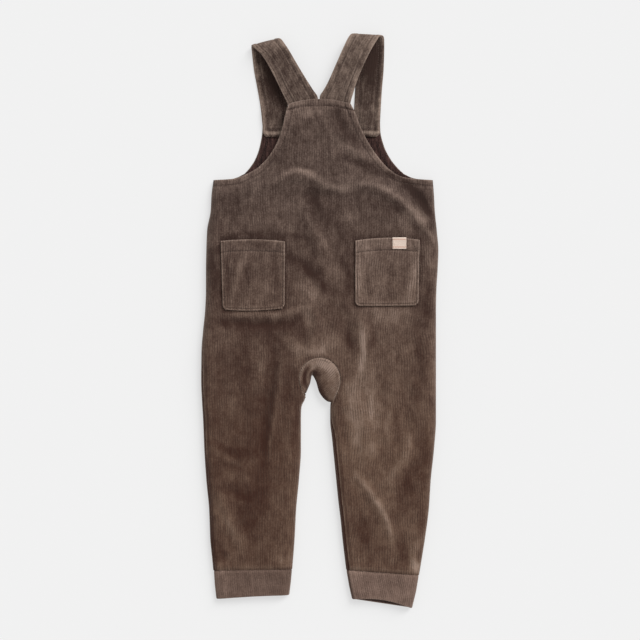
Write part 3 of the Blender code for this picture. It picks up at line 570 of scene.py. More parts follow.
@dataclass(frozen=True)
class Form:
    """Outline and heights of the laid garment, in millimetres, as the model's solids have them."""

    seam_z: float = 5.0
    round_above: float = 12.0
    round_below: float = 6.0
    seam_radius: float = 6.8
    seam_gap: float = 0.3
    seam_top_gap: float = 2.2
    seam_top: float = 176.0
    seam_angle: float = 14.0
    armhole_drop: float = 4.5
    armhole_reach: float = 18.0
    armhole_top: tuple[float, float] = (215.0, 250.0)
    arch_middle_y: float = -73.5
    arch_half_width: float = 26.0
    arch_rise: float = 27.5
    gusset_tip_width: float = 3.0
    gusset_tip_length: float = 7.0
    yoke_y: float = 178.0
    crotch_y: float = -30.0

    def side_x(self, side: Side, y: Array | float) -> Array:
        """Outermost x at height y; straight up above the side seam."""
        return steady(SIDES["y"], SIDES[side.key], np.minimum(y, self.seam_top))

    def inseam_x(self, side: Side, y: Array | float) -> Array:
        """x of a leg's inner edge at height y; straight up above the gusset."""
        return steady(INSEAMS[side.key]["y"], INSEAMS[side.key]["x"], y)

    def folds(self, x: Array, y: Array, table: Rows = FOLDS, column: str = "height", widened: float = 1.0
              ) -> Array:
        """Sum of a table's folds: each a raised cosine across a parabola, fading at its ends.

        Args:
            x: places across.
            y: places along.
            table: one fold a row, in the fold columns.
            column: the column that is added up.
            widened: how much wider than the table says each fold is.

        Returns:
            The sum at each place.
        """
        x, y = np.broadcast_arrays(np.asarray(x, float), np.asarray(y, float))
        total, share = np.zeros(x.shape), np.linspace(0.0, 1.0, 25)[:, None]
        for row in table:
            fold = dict(zip(FOLD_COLUMNS, row))
            start, bend, end = np.reshape(row[:6], (3, 2))
            line = (1 - share) ** 2 * start + 2 * share * (1 - share) * bend + share**2 * end
            reach = fold["half_width"] * widened
            low, high = line.min(axis=0) - reach, line.max(axis=0) + reach
            near = (x > low[0]) & (x < high[0]) & (y > low[1]) & (y < high[1])
            if near.any():
                gap, passed = from_line(x[near], y[near], line)
                fade = np.sin(math.pi * (0.12 + 0.76 * passed / passed_along(line)[-1]))
                total[near] += fold[column] * fade * bell(gap, reach)
        return total

    def patch_tone(self, x: Array, y: Array) -> Array:
        """Tone of the patches, some of them painted light and shade: each a raised cosine over an ellipse."""
        total = 0.0
        for middle_x, middle_y, reach_x, reach_y, tone in TONE_PATCHES:
            total = total + tone * bell(np.hypot((x - middle_x) / reach_x, (y - middle_y) / reach_y), 1.0)
        return total

    def inner_share(self, side: Side, y: Array | float) -> Array:
        """How fully a leg's inner edge is rounded: not at all over the arch, fully at the inseam."""
        end_y = GUSSET_END[side.key][1]
        return ease(-np.asarray(y, float), -end_y - 20.0, -end_y + 2.0)

    def inside_share(self, x: Array, y: Array, rise: Callable[[Array], Array]) -> Array:
        """How far in from the side edges and the inseams places lie: a product of shares.

        Args:
            x: places across.
            y: places along.
            rise: the share at a distance from one edge; 1 well inside.

        Returns:
            The product at each place.
        """
        share = rise(x - self.side_x(Side.LEFT, y)) * rise(self.side_x(Side.RIGHT, y) - x)
        for side in Side:
            inside = np.where(side.value * x > 0, side.value * (x - self.inseam_x(side, y)), 99.0)
            share = share * (1 - self.inner_share(side, y) * (1 - rise(inside)))
        return share

    def armhole_line(self, table: dict, side: Side, count: int = 90) -> Array:
        """Points along one armhole's edge, from the side seam to the top edge."""
        columns = table[f"{side.key}_seam_x"] + table[side.key], table["seam_y"] + table["y"]
        return drawn(np.array(columns, float).T, count)

    def level_z(self, x: Array, y: Array) -> Array:
        """Height of the back's outer face away from its rounded edges: loft and folds, less at armholes."""
        gaps = [from_line(x, y, self.armhole_line(BACK_ARMHOLE, side, 40))[0] for side in Side]
        drop = self.armhole_drop * (1 - ease(y, *self.armhole_top))
        drop = drop * (1 - ease(np.minimum(*gaps), 0.0, self.armhole_reach))
        return steady(LOFT["y"], LOFT["z"], y) + self.folds(x, y) - drop

    def upper_z(self, x: Array, y: Array) -> Array:
        """Height of the back's outer face, its edges rounded down to the seams."""
        x, y = np.broadcast_arrays(np.asarray(x, float), np.asarray(y, float))
        share = self.inside_share(x, y, lambda gap: rounding(gap, self.round_above))
        return mix(self.seam_z, self.level_z(x, y), share)

    def turn_at_seam(self, side: Side, edge: Edge, y: Array) -> Array:
        """How far up the rounded edge a leg's seam lies at height y, in radians."""
        rolled, start, full = ROLLED_SEAMS.get((side, edge), (self.seam_angle, 0.0, 1.0))
        return np.radians(mix(self.seam_angle, rolled, ease(-np.asarray(y), start, full)))

    def gap_at_seam(self, side: Side, edge: Edge, y: Array) -> Array:
        """Gap between back and front: it opens towards the armholes and the gusset's ends."""
        if edge is Edge.OUTER:
            return self.seam_gap + self.seam_top_gap * ease(y, 158.0, self.seam_top)
        end_y = GUSSET_END[side.key][1]
        tip = ease(-np.asarray(y, float), -end_y, -end_y + self.gusset_tip_length)
        return self.seam_gap + self.gusset_tip_width * (1 - tip)

    def arch(self, side: Side, share: Array, grown: float = 0.0) -> tuple[Array, Array]:
        """Points of the gusset's seam: a quarter ellipse from the arch's top, then a cosine curve.

        Args:
            side: the half of the arch.
            share: 0 at its top, 1 at the gusset's end.
            grown: how much wider and higher it is.

        Returns:
            x and y.
        """
        end_x, end_y = GUSSET_END[side.key]
        half_width, rise = self.arch_half_width + grown, self.arch_rise + grown
        drop, quarter = self.arch_middle_y - end_y, 0.5 * math.pi * self.arch_rise
        run = np.asarray(share, float) * (quarter + drop)
        angle, fallen = np.minimum(run, quarter) / self.arch_rise, np.maximum(run - quarter, 0.0) / drop
        narrowed = (half_width - abs(end_x) - grown) * (1 - np.cos(fallen * math.pi / 2))
        x = np.where(run <= quarter, half_width * np.sin(angle), half_width - narrowed)
        y = self.arch_middle_y + np.where(run <= quarter, rise * np.cos(angle), -drop * fallen)
        return side.value * x, y

    def arch_line(self) -> Array:
        """Points along the whole arch, from its left end over its top to its right end."""
        left, right = (np.column_stack(self.arch(side, np.linspace(0.0, 1.0, 40))) for side in Side)
        return np.vstack([left[::-1], right[1:]])


FORM = Form()


# ---------------------------------------------------------------------------- meshes


@dataclass
class Surface:
    """An open surface of cloth: its points, their places on the flat cloth, and its faces."""

    points: Array
    cloth: Array
    faces: Array

    @property
    def area(self) -> float:
        """Area in square metres: half the length of each face's vector."""
        return float(0.5 * np.linalg.norm(face_vectors(self.points * MM, self.faces), axis=1).sum())

    @property
    def normals(self) -> Array:
        """The unit normal at each point."""
        return vertex_normals(self.points, self.faces)


def grid_surface(points: Array, cloth: Array, turned: bool = False, ring: bool = False) -> Surface:
    """A surface from one grid of points.

    Args:
        points: the grid, rows by columns by three.
        cloth: places on the flat cloth, rows by columns by two.
        turned: whether the faces look the other way.
        ring: whether the last column joins the first.

    Returns:
        The surface.
    """
    index = np.arange(points.shape[0] * points.shape[1]).reshape(points.shape[:2])
    if ring:
        index = np.hstack([index, index[:, :1]])
    return Surface(points.reshape(-1, 3), cloth.reshape(-1, 2), quads(index, turned))


def mesh_piece(name: str, points: Array, faces: Array, cloth: Array, tone: Array,
               materials: Sequence[bpy.types.Material], slots: Array) -> bpy.types.Object:
    """A smooth object from points in millimetres, with its cloth map and its tone.

    Args:
        name: the object's name.
        points: one point a row.
        faces: four vertex numbers a row.
        cloth: across and along the flat cloth, a row for each point.
        tone: how much lighter (or darker) the pile lies at each point.
        materials: the piece's finishes.
        slots: the number of each face's finish.

    Returns:
        The object, linked to the scene.
    """
    mesh = bpy.data.meshes.new(name)
    mesh.from_pydata((points * MM).tolist(), [], faces.tolist())
    corners = np.empty(len(mesh.loops), np.int32)
    mesh.loops.foreach_get("vertex_index", corners)
    layer = mesh.uv_layers.new(name="cloth")
    layer.data.foreach_set("uv", (cloth[corners] * MM).astype(np.float32).ravel())
    shade = mesh.attributes.new("tone", "FLOAT", "POINT")
    shade.data.foreach_set("value", np.asarray(tone, np.float32))
    for material in materials:
        mesh.materials.append(material)
    mesh.polygons.foreach_set("material_index", np.asarray(slots, np.int32))
    mesh.shade_smooth()
    mesh.update()
    piece = bpy.data.objects.new(name, mesh)
    bpy.context.scene.collection.objects.link(piece)
    return piece


def cloth_piece(name: str, surface: Surface, wall: float, materials: Sequence[bpy.types.Material],
                tone: Array, inner_relief: Array | float = 0.0, rim: float = 0.25,
                inner_tone: Array | None = None) -> bpy.types.Object:
    """A closed piece of cloth: the surface, the same moved in by its wall, and a rounded rim.

    The inner face is each point less its normal times the wall. The rim's middle line lies
    halfway between both faces and a little further out.

    Args:
        name: the object's name.
        surface: the outer face.
        wall: the cloth's thickness.
        materials: the outer face's finish, then the inner one's.
        tone: how much lighter the pile lies at each point of the surface.
        inner_relief: how much further in the inner face lies.
        rim: how far the rim's middle stands out.
        inner_tone: the inner face's tone, where it differs, as where a strap's carries painted shadow.

    Returns:
        The object.
    """
    outer, faces, normals = surface.points, surface.faces, surface.normals
    inner_tone = tone if inner_tone is None else inner_tone
    count = len(outer)
    inner = outer - normals * (wall + np.broadcast_to(inner_relief, count)[:, None])
    edges = np.vstack([faces[:, [corner, (corner + 1) % 4]] for corner in range(4)])
    open_edges = edges[~np.isin(edges @ (count, 1), edges @ (1, count))]
    first, second = open_edges.T
    outward = np.cross(outer[second] - outer[first], normals[first] + normals[second])
    outwards = np.zeros_like(outer)
    for end in (first, second):
        np.add.at(outwards, end, outward)
    used = np.unique(open_edges)
    middle = 0.5 * (outer[used] + inner[used]) + unit(outwards[used]) * rim
    number = np.zeros(count, int)
    number[used] = 2 * count + np.arange(len(used))
    upper = np.stack([second, first, number[first], number[second]], axis=1)
    lower = np.stack([number[second], number[first], first + count, second + count], axis=1)
    return mesh_piece(
        name,
        np.vstack([outer, inner, middle]),
        np.vstack([faces, faces[:, ::-1] + count, upper, lower]),
        np.vstack([surface.cloth, surface.cloth, surface.cloth[used]]),
        np.concatenate([tone, inner_tone, 0.5 * (tone + inner_tone)[used]]),
        materials,
        np.repeat([0, 1, 0], [len(faces), len(faces), 2 * len(open_edges)]),
    )


def stitches(name: str, runs: Sequence[Run], material: bpy.types.Material, pitch: float = 3.0,
             length: float = 2.3, thickness: float = 0.5) -> bpy.types.Object:
    """Rows of stitches in one mesh: each a short six-sided rod of five rings, sunk at both ends.

    Args:
        name: the object's name.
        runs: for each seam, its points and the cloth's normals there, one a row.
        material: the thread's finish.
        pitch: distance between stitches.
        length: of one stitch.
        thickness: of the thread.

    Returns:
        The object.
    """
    stands = []
    for points, normals in runs:
        passed = passed_along(points)
        at = np.arange(0.5 * pitch, passed[-1] - 0.4 * pitch, pitch)
        centre, up, after, before = (
            np.stack([np.interp(at + shift, passed, column) for column in part.T], axis=1)
            for part, shift in ((points, 0.0), (normals, 0.0), (points, 0.5), (points, -0.5))
        )
        stands.append(np.stack([centre, unit(after - before), unit(up)]))
    centre, way, up = np.concatenate(stands, axis=1)[:, :, None, None, :]
    place, swell, lift = np.array(STITCH_RINGS).T[:, None, :, None, None]
    turn = (np.arange(6) * math.pi / 3)[None, None, :, None]
    ring = (np.cos(turn) * np.cross(up, way) + np.sin(turn) * up) * 0.5 * thickness * swell
    points = (centre + way * place * length + up * lift * thickness + ring).reshape(-1, 3)
    number = np.arange(len(points)).reshape(-1, 5, 6)
    after = np.roll(number, -1, axis=2)
    sides = np.stack([number[:, :-1], after[:, :-1], after[:, 1:], number[:, 1:]], axis=-1).reshape(-1, 4)
    caps = [number[:, row, corners] for row, corners in (
        (0, [3, 2, 1, 0]), (0, [5, 4, 3, 0]), (4, [0, 1, 2, 3]), (4, [0, 3, 4, 5]))]
    faces = np.vstack([sides, *caps])
    plain = np.zeros(len(points))
    return mesh_piece(name, points, faces, points[:, :2], plain, [material], np.zeros(len(faces)))


def on_panel(height: HeightOf, x: Array, y: Array, lift: float = 0.0) -> Run:
    """Points over a height function, and its normals from differences half a millimetre apart.

    Args:
        height: the height at places across and along.
        x: places across.
        y: places along.
        lift: how far over that height the points lie.

    Returns:
        The points and the normals.
    """
    z = height(x, y)
    slope_x, slope_y = height(x + 0.5, y) - height(x - 0.5, y), height(x, y + 0.5) - height(x, y - 0.5)
    return np.stack([x, y, z + lift], axis=-1), unit(np.stack([-slope_x, -slope_y, np.ones_like(z)], axis=-1))


def declare(piece: bpy.types.Object, node: str, slot: str, *threads: bpy.types.Object, **sheet: object
            ) -> None:
    """Rides a piece and its stitches on the garment, logs its triangles and hides the solid that it stands
    for.

    Args:
        piece: the piece of cloth.
        node: the solid that it stands for.
        slot: not used.
        threads: its stitches.
        sheet: not used.
    """
    for part in (piece, *threads):
        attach(part, "root")
        log.info("%s: %d triangles", part.name, sum(len(face.vertices) - 2 for face in part.data.polygons))
    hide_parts(node)


# ---------------------------------------------------------------------------- the two panels


@dataclass
class Panel:
    """Back or front: one cut from the top to the ends of both legs, on four joined grids.

    Every row runs from the left edge to the right one. Half a row is: the rounded edge, even
    columns to the line where the armhole turns up, the hem's close columns, even columns again,
    and close columns at the middle, which become the legs' inner edges.
    """

    name: str
    armhole: dict
    above: bool
    form: Form = FORM
    stitch_in: float = 7.4
    edge_points: int = 11
    outer_steps: int = 12
    inner_steps: int = 24
    row_step: float = 2.7
    leg_outer: float = 66.0
    leg_hem_x: float = 60.0
    crotch_rows: tuple[float, ...] = (7.5, 5.0, 3.2, 1.8, 0.8, 0.0)
    end_rows: tuple[float, ...] = (9.0, 6.5, 4.4, 2.8, 1.5, 0.6, 0.0)
    middle_steps: tuple[float, ...] = (0.0, 0.4, 0.9, 1.6, 2.4, 3.4, 4.6, 6.0, 7.7, 9.7, 12.0)

    def edge(self, side: Side, edge: Edge, edge_x: Array, y: Array, share: Array
             ) -> tuple[Array, Array | None]:
        """Distance in from an edge, and the front's heights, of a seamed edge's columns.

        Back: reach times (1 - cos a), for turns a from the seam to level. Front: turns from the
        seam down to -90 degrees, with z = seam + (level - seam) sin a above the widest place and
        seam (1 + sin a) below it. Where share is 0 the edge is flat.

        Args:
            side: the edge's side.
            edge: its outer or its inner edge.
            edge_x: x of the edge, a value a row.
            y: height of the row's end.
            share: how fully the edge is rounded.

        Returns:
            Distances in, rows by columns, and heights of the same shape or None.
        """
        form, y, share = self.form, y[:, None], share[:, None]
        apart = 0.5 * form.gap_at_seam(side, edge, y) / form.seam_radius
        run = np.linspace(0.0, 1.0, self.edge_points)
        flat = form.round_above * np.array(self.middle_steps) / self.middle_steps[-1]
        seam_turn = form.turn_at_seam(side, edge, y)
        if self.above:
            turns = mix(seam_turn + apart, math.pi / 2, run)
            return form.round_above * (1 - np.cos(turns)) * share + flat * (1 - share), None
        turns = mix(seam_turn - apart, -math.pi / 2, run)
        distance = np.where(turns > 0, form.round_above, form.round_below) * (1 - np.cos(turns))
        sign = -side.value if edge is Edge.OUTER else side.value
        level = form.level_z(edge_x[:, None] + sign * distance, np.broadcast_to(y, distance.shape))
        heights = form.seam_z + np.where(turns > 0, level - form.seam_z, form.seam_z) * np.sin(turns)
        return distance * share + flat * (1 - share), heights * share

    def half_rows(self, outer: Array, hem_x: Array, even: Array, inner: Array) -> Array:
        """x (counted outwards) of half a row: edge, even, hem and even columns, then the middle's.

        Args:
            outer: the rounded edge's columns, rows by columns.
            hem_x: where the hem's close columns begin.
            even: 0 where those are close together, 1 where all columns are evenly spaced.
            inner: the middle's columns, from the inside edge outwards, for each row or for all.

        Returns:
            Rows by columns.
        """
        inner = np.broadcast_to(inner, (len(outer), np.shape(inner)[-1]))
        start, stop, hem = outer[:, -1:], inner[:, -1:], hem_x[:, None]
        close = hem - np.array(HEM_STEPS)
        approach = mix(start, hem, np.linspace(0.0, 1.0, self.outer_steps + 1)[1:-1])
        between = mix(close[:, -1:], stop, np.linspace(0.0, 1.0, self.inner_steps + 1)[1:-1])
        own = np.hstack([approach, close, between])
        spread = mix(start, stop, np.linspace(0.0, 1.0, own.shape[1] + 2)[1:-1])
        return np.hstack([outer, mix(own, spread, even[:, None]), inner[:, ::-1]])

    @staticmethod
    def whole_rows(left: Array, right: Array, middle_y: Array, end_y: Array) -> tuple[Array, Array]:
        """x of whole rows from both halves, and y on parabolas from their middles to their ends."""
        x = np.hstack([left, right[:, -2::-1]])
        reach = np.where(x < 0, x[:, :1], x[:, -1:])
        return x, mix(middle_y[:, None], end_y[:, None], (x / reach) ** 2)

    def armhole_row(self, x: Array) -> Array:
        """y of the row that follows both armholes in from the side seams, then crosses the middle."""
        left_x, right_x = (self.armhole[f"{side.key}_seam_x"] for side in Side)
        seam_y = self.armhole["seam_y"]
        inner = np.clip(np.where(x < 0, x / left_x[-1], x / right_x[-1]), 0.0, 1.0)
        across = mix(self.form.yoke_y, seam_y[-1], inner**2)
        left, right = steady(left_x, seam_y, x), steady(right_x, seam_y, x)
        return np.where(x < left_x[-1], left, np.where(x > right_x[-1], right, across))

    def torso(self) -> Array:
        """Points from the armholes' lower ends down to the crotch, rows by columns by three."""
        form = self.form
        depth = form.seam_top - form.crotch_y
        lower = depth - np.array(self.crotch_rows)
        count = round((lower[0] - HEM_STEPS[-1]) / self.row_step)
        down = np.concatenate([HEM_STEPS, np.linspace(HEM_STEPS[-1], lower[0], count + 1)[1:], lower[1:]])
        end_y = form.seam_top - down
        middle_y = form.yoke_y - (form.yoke_y - form.arch_middle_y - form.arch_rise) * down / depth
        halves, heights = [], []
        for side in Side:
            edge_x = form.side_x(side, end_y)
            distance, z = self.edge(side, Edge.OUTER, edge_x, end_y, np.ones_like(end_y))
            hem_x = np.full(len(down), abs(self.armhole[f"{side.key}_seam_x"][-1]))
            halves.append(side.value * self.half_rows(np.abs(edge_x)[:, None] - distance, hem_x,
                                                      ease(down, 12.0, 70.0), self.middle_steps))
            heights.append(z)
        x, plain = self.whole_rows(*halves, middle_y, end_y)
        y = mix(self.armhole_row(x) - down[:, None], plain, ease(down, 0.0, 60.0)[:, None])
        return self.grid(x, y, *heights)

    def yoke(self) -> Array:
        """Points above the armholes' lower ends, from the top edge down to the torso's first row."""
        table = self.armhole
        columns = [np.array((table[f"{side.key}_seam_x"][-1], *table[side.key]), float) for side in Side]
        end_y = np.array((table["seam_y"][-1], *table["y"]), float)
        passed = passed_along(np.column_stack([columns[0], end_y]))
        close = passed[-1] - np.array(HEM_STEPS)[::-1]
        count = round(close[0] / self.row_step)
        at = np.concatenate([np.linspace(0.0, close[0], count + 1)[:-1], close])
        halves = []
        for side, column in zip(Side, columns):
            hem_x = np.abs(steady(passed, column, at))
            rows = self.half_rows(hem_x[:, None], hem_x, np.zeros(len(at)), self.middle_steps)
            halves.append(side.value * rows[:, self.outer_steps :])
        middle_y = steady(passed, (self.form.yoke_y, *table["middle_y"]), at)
        return self.grid(*self.whole_rows(*halves, middle_y, steady(passed, end_y, at)))[::-1]

    def leg(self, side: Side) -> Array:
        """Points of one leg: its rows begin beside the arch and end at the cuff's seam."""
        form, sign = self.form, side.value
        arch_share = np.linspace(0.0, 1.0, 25)[1:]
        arch_x, arch_y = form.arch(side, arch_share)
        outer_end, inner_end = LEG_ENDS[side.key]
        outer_y = form.crotch_y - self.leg_outer
        length = outer_y - outer_end
        close = length - np.array(self.end_rows)
        count = round(close[0] / self.row_step)
        down = np.concatenate([np.linspace(0.0, close[0], count + 1)[1:], close[1:]]) / length
        outer = np.concatenate([form.crotch_y - self.leg_outer * arch_share, mix(outer_y, outer_end, down)])
        inner = np.concatenate([arch_y, mix(arch_y[-1], inner_end, down)])
        inner_x = np.concatenate([arch_x, form.inseam_x(side, inner[len(arch_y) :])])
        outer_x, ones = form.side_x(side, outer), np.ones_like(outer)
        outer_in, outer_z = self.edge(side, Edge.OUTER, outer_x, outer, ones)
        inner_in, inner_z = self.edge(side, Edge.INNER, inner_x, inner, form.inner_share(side, inner))
        x = sign * self.half_rows((sign * outer_x)[:, None] - outer_in, self.leg_hem_x * ones, ones,
                                  (sign * inner_x)[:, None] + inner_in)
        across = (x - x[:, -1:]) / (x[:, :1] - x[:, -1:])
        straight = ease(np.concatenate([arch_share, 1.0 + down]), 0.0, 0.6)[:, None]
        y = mix(inner[:, None], outer[:, None], across**2 + (across - across**2) * straight)
        grid = self.grid(x, y, outer_z, inner_z)
        return grid if side is Side.LEFT else grid[:, ::-1]

    def grid(self, x: Array, y: Array, first_z: Array | None = None, last_z: Array | None = None) -> Array:
        """Points with their heights, added to the front's rounded edges at the rows' ends.

        Args:
            x: rows by columns.
            y: shaped as x.
            first_z: the heights of each row's first columns.
            last_z: those of its last columns, from the end inwards.

        Returns:
            Rows by columns by three.
        """
        z = self.height(x, y)
        if first_z is not None:
            z[:, : first_z.shape[1]] += first_z
            z[:, z.shape[1] - last_z.shape[1] :] += last_z[:, ::-1]
        return np.stack([x, y, z], axis=-1)

    def height(self, x: Array, y: Array) -> Array:
        """Height of the outer face; the front's is its small relief over the floor."""
        raise NotImplementedError

    def surface(self) -> Surface:
        """The four grids as one surface, with lengths across the cloth measured along each row."""
        body, yoke, left, right = self.torso(), self.yoke()[:-1], self.leg(Side.LEFT), self.leg(Side.RIGHT)
        rows, columns = body.shape[:2]
        half, inset = columns // 2, (columns - yoke.shape[1]) // 2
        body_u, reference = self.across(body, half), half // 2
        cloths = [body_u, self.across(yoke, yoke.shape[1] // 2)]
        joins = (left, reference, reference), (right, half - reference, columns - 1 - reference)
        for grid, column, number in joins:
            cloths.append(self.across(grid, column) + body_u[-1, number] - body[-1, number, 0])
        index = np.arange(rows * columns).reshape(rows, columns)
        faces, used = [quads(index, not self.above)], rows * columns
        for grid, shared in ((yoke, index[0, inset : columns - inset]), (left, index[-1, : half + 1]),
                             (right, index[-1, half:])):
            own = used + np.arange(grid.shape[0] * grid.shape[1]).reshape(grid.shape[:2])
            faces.append(quads(np.vstack([own, shared] if grid is yoke else [shared, own]), not self.above))
            used += own.size
        points = np.vstack([grid.reshape(-1, 3) for grid in (body, yoke, left, right)])
        cloth = np.column_stack([np.concatenate([part.ravel() for part in cloths]), points[:, 1]])
        return Surface(points, cloth, np.vstack(faces))

    @staticmethod
    def across(grid: Array, column: int) -> Array:
        """Length across the cloth from x = 0: x at one column, and the row's own length from there."""
        passed = passed_along(grid[..., [0, 2]], 1)
        return passed - passed[:, column : column + 1] + grid[:, column : column + 1, 0]

    def hem_runs(self, clear: float, ends: tuple[float, float], top: Callable[[Array], Array], short: float,
                 lift: float) -> list[Run]:
        """Where stitches run along both armholes' hems and along the top edge's.

        Args:
            clear: how far in from the side edges the armholes' runs begin.
            ends: x of both ends of the top edge's run.
            top: y of that run at x.
            short: how far below it the armholes' runs end.
            lift: how far over the outer face the thread lies.

        Returns:
            The three runs.
        """
        runs = []
        for side in Side:
            line = beside(self.form.armhole_line(self.armhole, side, 160), side.value * self.stitch_in)
            inside = np.abs(line[:, 0]) < np.abs(self.form.side_x(side, 170.0)) - clear
            x, y = line[inside & (line[:, 1] < top(line[:, 0]) - short)].T
            runs.append(on_panel(self.height, x, y, lift))
        x = np.linspace(*ends, 60)
        return [*runs, on_panel(self.height, x, top(x), lift)]


@dataclass
class BackPanel(Panel):
    """The back, which faces up: hemmed armholes, a band along its top edge, folds and gathers.

    The waves raise the cloth, the bends sway its creases sideways and along, and the clouds shade
    it; each is a height, a length and a seed. The notch is where the band dips: its x and half width.
    The profiles' distances run in from the armholes' edges, down from the top edge, out from the
    gusset's seam, up from the cuffs' seams and in from a rolled side seam.
    """

    name: str = "back"
    armhole: dict = field(default_factory=lambda: BACK_ARMHOLE)
    above: bool = True
    wall: float = 1.8
    band_width: float = 7.2
    waves: Rows = ((0.35, 38.0, 0.0), (0.2, 15.0, 0.7))
    bends: Rows = ((2.2, 34.0, 1.7), (2.2, 29.0, 2.9))
    clouds: Rows = ((0.08, 46.0, 1.3), (0.05, 21.0, 2.1))
    crease_reach: float = 1.45
    notch: tuple[float, float] = (-1.4, 2.6)
    gather_depth: float = 0.22
    gather_length: float = 11.0
    hem_height: Profile = Profile(((0.5, 7.8, 9.2),), ((-0.8, 7.4, 1.6),), ((-1.0, 1.4),))
    hem_tone: Profile = Profile(((0.62, 0.6, 3.2), (0.16, 4.6, 6.6)), ((0.18, 9.6, 2.4), (-0.28, 7.4, 1.5)))
    hem_puckers: Profile = Profile(swells=((0.16, 8.9, 5.0),))
    hem_pucker_tone: Profile = Profile(swells=((0.08, 7.4, 6.0),))
    band_height: Profile = Profile(((0.9, 6.6, 8.0),), ((-1.0, 7.2, 1.6),), ((-1.2, 1.8),))
    band_tone: Profile = Profile(((0.40, 4.0, 7.2),), ((-0.5, 7.2, 1.5), (0.25, 9.8, 2.4)))
    arch_height: Profile = Profile((), ((0.35, 3.0, 3.0),), ((-1.1, 1.8),))
    arch_tone: Profile = Profile(((0.22, 0.2, 1.6),), ((-0.16, 3.4, 2.4),))
    cuff_seam_height: Profile = Profile(swells=((1.0, 6.0, 7.0), (-0.7, 0.0, 2.8)))
    cuff_seam_tone: Profile = Profile(swells=((0.34, 3.6, 3.6), (0.1, 0.0, 1.8)))
    rolled_edge: Profile = Profile(((0.55, 0.3, 2.0),), ((-0.35, 3.6, 2.6),))

    def top_y(self, x: Array) -> Array:
        """y of the top edge: its middle stands above its ends on a parabola."""
        return mix(self.armhole["middle_y"][-1], self.armhole["y"][-1], (x / self.armhole["right"][-1]) ** 2)

    def leg_end_y(self, side: Side, x: Array) -> Array:
        """y of a leg's end at x: straight from its outer to its inner corner."""
        outer_y, inner_y = LEG_ENDS[side.key]
        outer_x, inner_x = self.form.side_x(side, outer_y), self.form.inseam_x(side, inner_y)
        return mix(outer_y, inner_y, (x - outer_x) / (inner_x - outer_x))

    def relief(self, x: Array, y: Array) -> tuple[Array, Array]:
        """Height added to the form by hems, seams, gathers and fine creases, and the tone it brings, with
        painted highlights and shade along the creases and painted shadow round the pockets.

        Args:
            x: places across.
            y: places along.

        Returns:
            The relief in millimetres and the tone.
        """
        form = self.form
        bent = tuple(part + ripples(x, y, wave) for part, wave in zip((x, y), self.bends))
        height = form.folds(*bent, CREASES) + ripples(x, y, *self.waves)
        # The creases' tone paints highlights on their ridges and shade in their troughs.
        tone = form.folds(*bent, CREASES, "tone", self.crease_reach) * (1 + ripples(x, y, (0.5, 26.0, 3.3)))
        tone += ripples(x, y, *self.clouds)
        for side in Side:
            gap, along = from_line(x, y, form.armhole_line(self.armhole, side))
            wave = puckers(along, 1.05, 1.6, 9.0) + 0.5 * np.sin(along / 1.9)
            height += self.hem_height(gap) + wave * self.hem_puckers(gap)
            tone += self.hem_tone(gap) + wave * self.hem_pucker_tone(gap)
        down = self.top_y(x) - y
        notch = bell(x - self.notch[0], self.notch[1]) * (1 - ease(down, 1.0, self.band_width))
        height += self.band_height(down) - 1.4 * notch
        tone += self.band_tone(down) - 0.5 * notch
        for table in POCKETS.values():
            away = self.from_pocket(table, x, y)
            height -= 0.6 * bell(away, 5.0)
            # Painted shadow round the pockets, with crushed pile there: stronger round the left pocket and
            # the right one's left side.
            tone -= bell(away - 0.5, 3.6) * (0.50 - 0.28 * ease(x, 46.0, 64.0))
        gap, _ = from_line(x, y, form.arch_line())
        height += self.arch_height(gap)
        tone += self.arch_tone(gap)
        for side in Side:
            over = y - self.leg_end_y(side, x)
            here = (side.value * x > 0) & (over < 60)
            gathers = puckers(x, 1.35, 2.0, 8.0) + 0.6 * np.sin(x / 2.6 + 1.0)
            gathered = self.gather_depth * gathers * np.exp(-np.maximum(over, 0) / self.gather_length)
            height += np.where(here, gathered + self.cuff_seam_height(over), 0.0)
            tone += np.where(here, self.cuff_seam_tone(over), 0.0)
        return height, tone

    @staticmethod
    def from_pocket(table: dict, x: Array, y: Array) -> Array:
        """Distance from a pocket's outline, taken as straight between its corners."""
        heights = table["bottom"][0], table["top"][0]
        left, right = (np.interp(y, heights, (table["x_bottom"][end], table["x_top"][end])) for end in (0, 1))
        beyond_x = np.maximum(np.maximum(left - x, x - right), 0.0)
        beyond_y = np.maximum(np.maximum(table["bottom"][1] - y, y - table["top"][1]), 0.0)
        return np.hypot(beyond_x, beyond_y)

    def height(self, x: Array, y: Array) -> Array:
        """The form's height with the relief, which fades out at the rounded edges."""
        inside = self.form.inside_share(x, y, lambda gap: ease(gap, -0.5, 8.0))
        return self.form.upper_z(x, y) + self.relief(x, y)[0] * inside

    def tone(self, x: Array, y: Array) -> Array:
        """How much lighter the pile lies, with painted light: highlights on ridges and shade in troughs,
        lighter hems, patches, some painted light and shade, and painted shade at the left leg's lower edge.
        """
        # Ridges of the model's folds are painted a little lighter and troughs darker, as highlight and shade.
        own = self.relief(x, y)[1] + 0.05 * self.form.folds(x, y)
        return own + self.form.patch_tone(x, y) + self.rolled_tone(x, y)

    def rolled_tone(self, x: Array, y: Array) -> Array:
        """A lighter turned edge and a darker line beside it where a seam has rolled onto the upper side, and
        painted shade along the left leg's lower outer edge.
        """
        form, tone = self.form, 0.0
        for side, edge in ROLLED_SEAMS:
            turn = form.turn_at_seam(side, edge, y)
            edge_in = x - (form.side_x(side, y) if edge is Edge.OUTER else form.inseam_x(side, y))
            gap = edge_in - form.round_above * (1 - np.cos(turn))
            share = ease(np.degrees(turn), form.seam_angle, form.seam_angle + 20.0)
            if edge is Edge.INNER:
                share = share * (y < -90.0) * (x > 0)
            else:
                lower = 1 - ease(y, -190.0, -150.0)
                share = share * (1 - lower)
                # Painted shade along the left leg's lower outer edge, which faces away from the light.
                tone = tone - 0.65 * lower * (1 - ease(gap, 0.6, 5.0)) * (x < 0)
            tone = tone + share * self.rolled_edge(gap) * (np.abs(gap) < 8.0)
        return tone

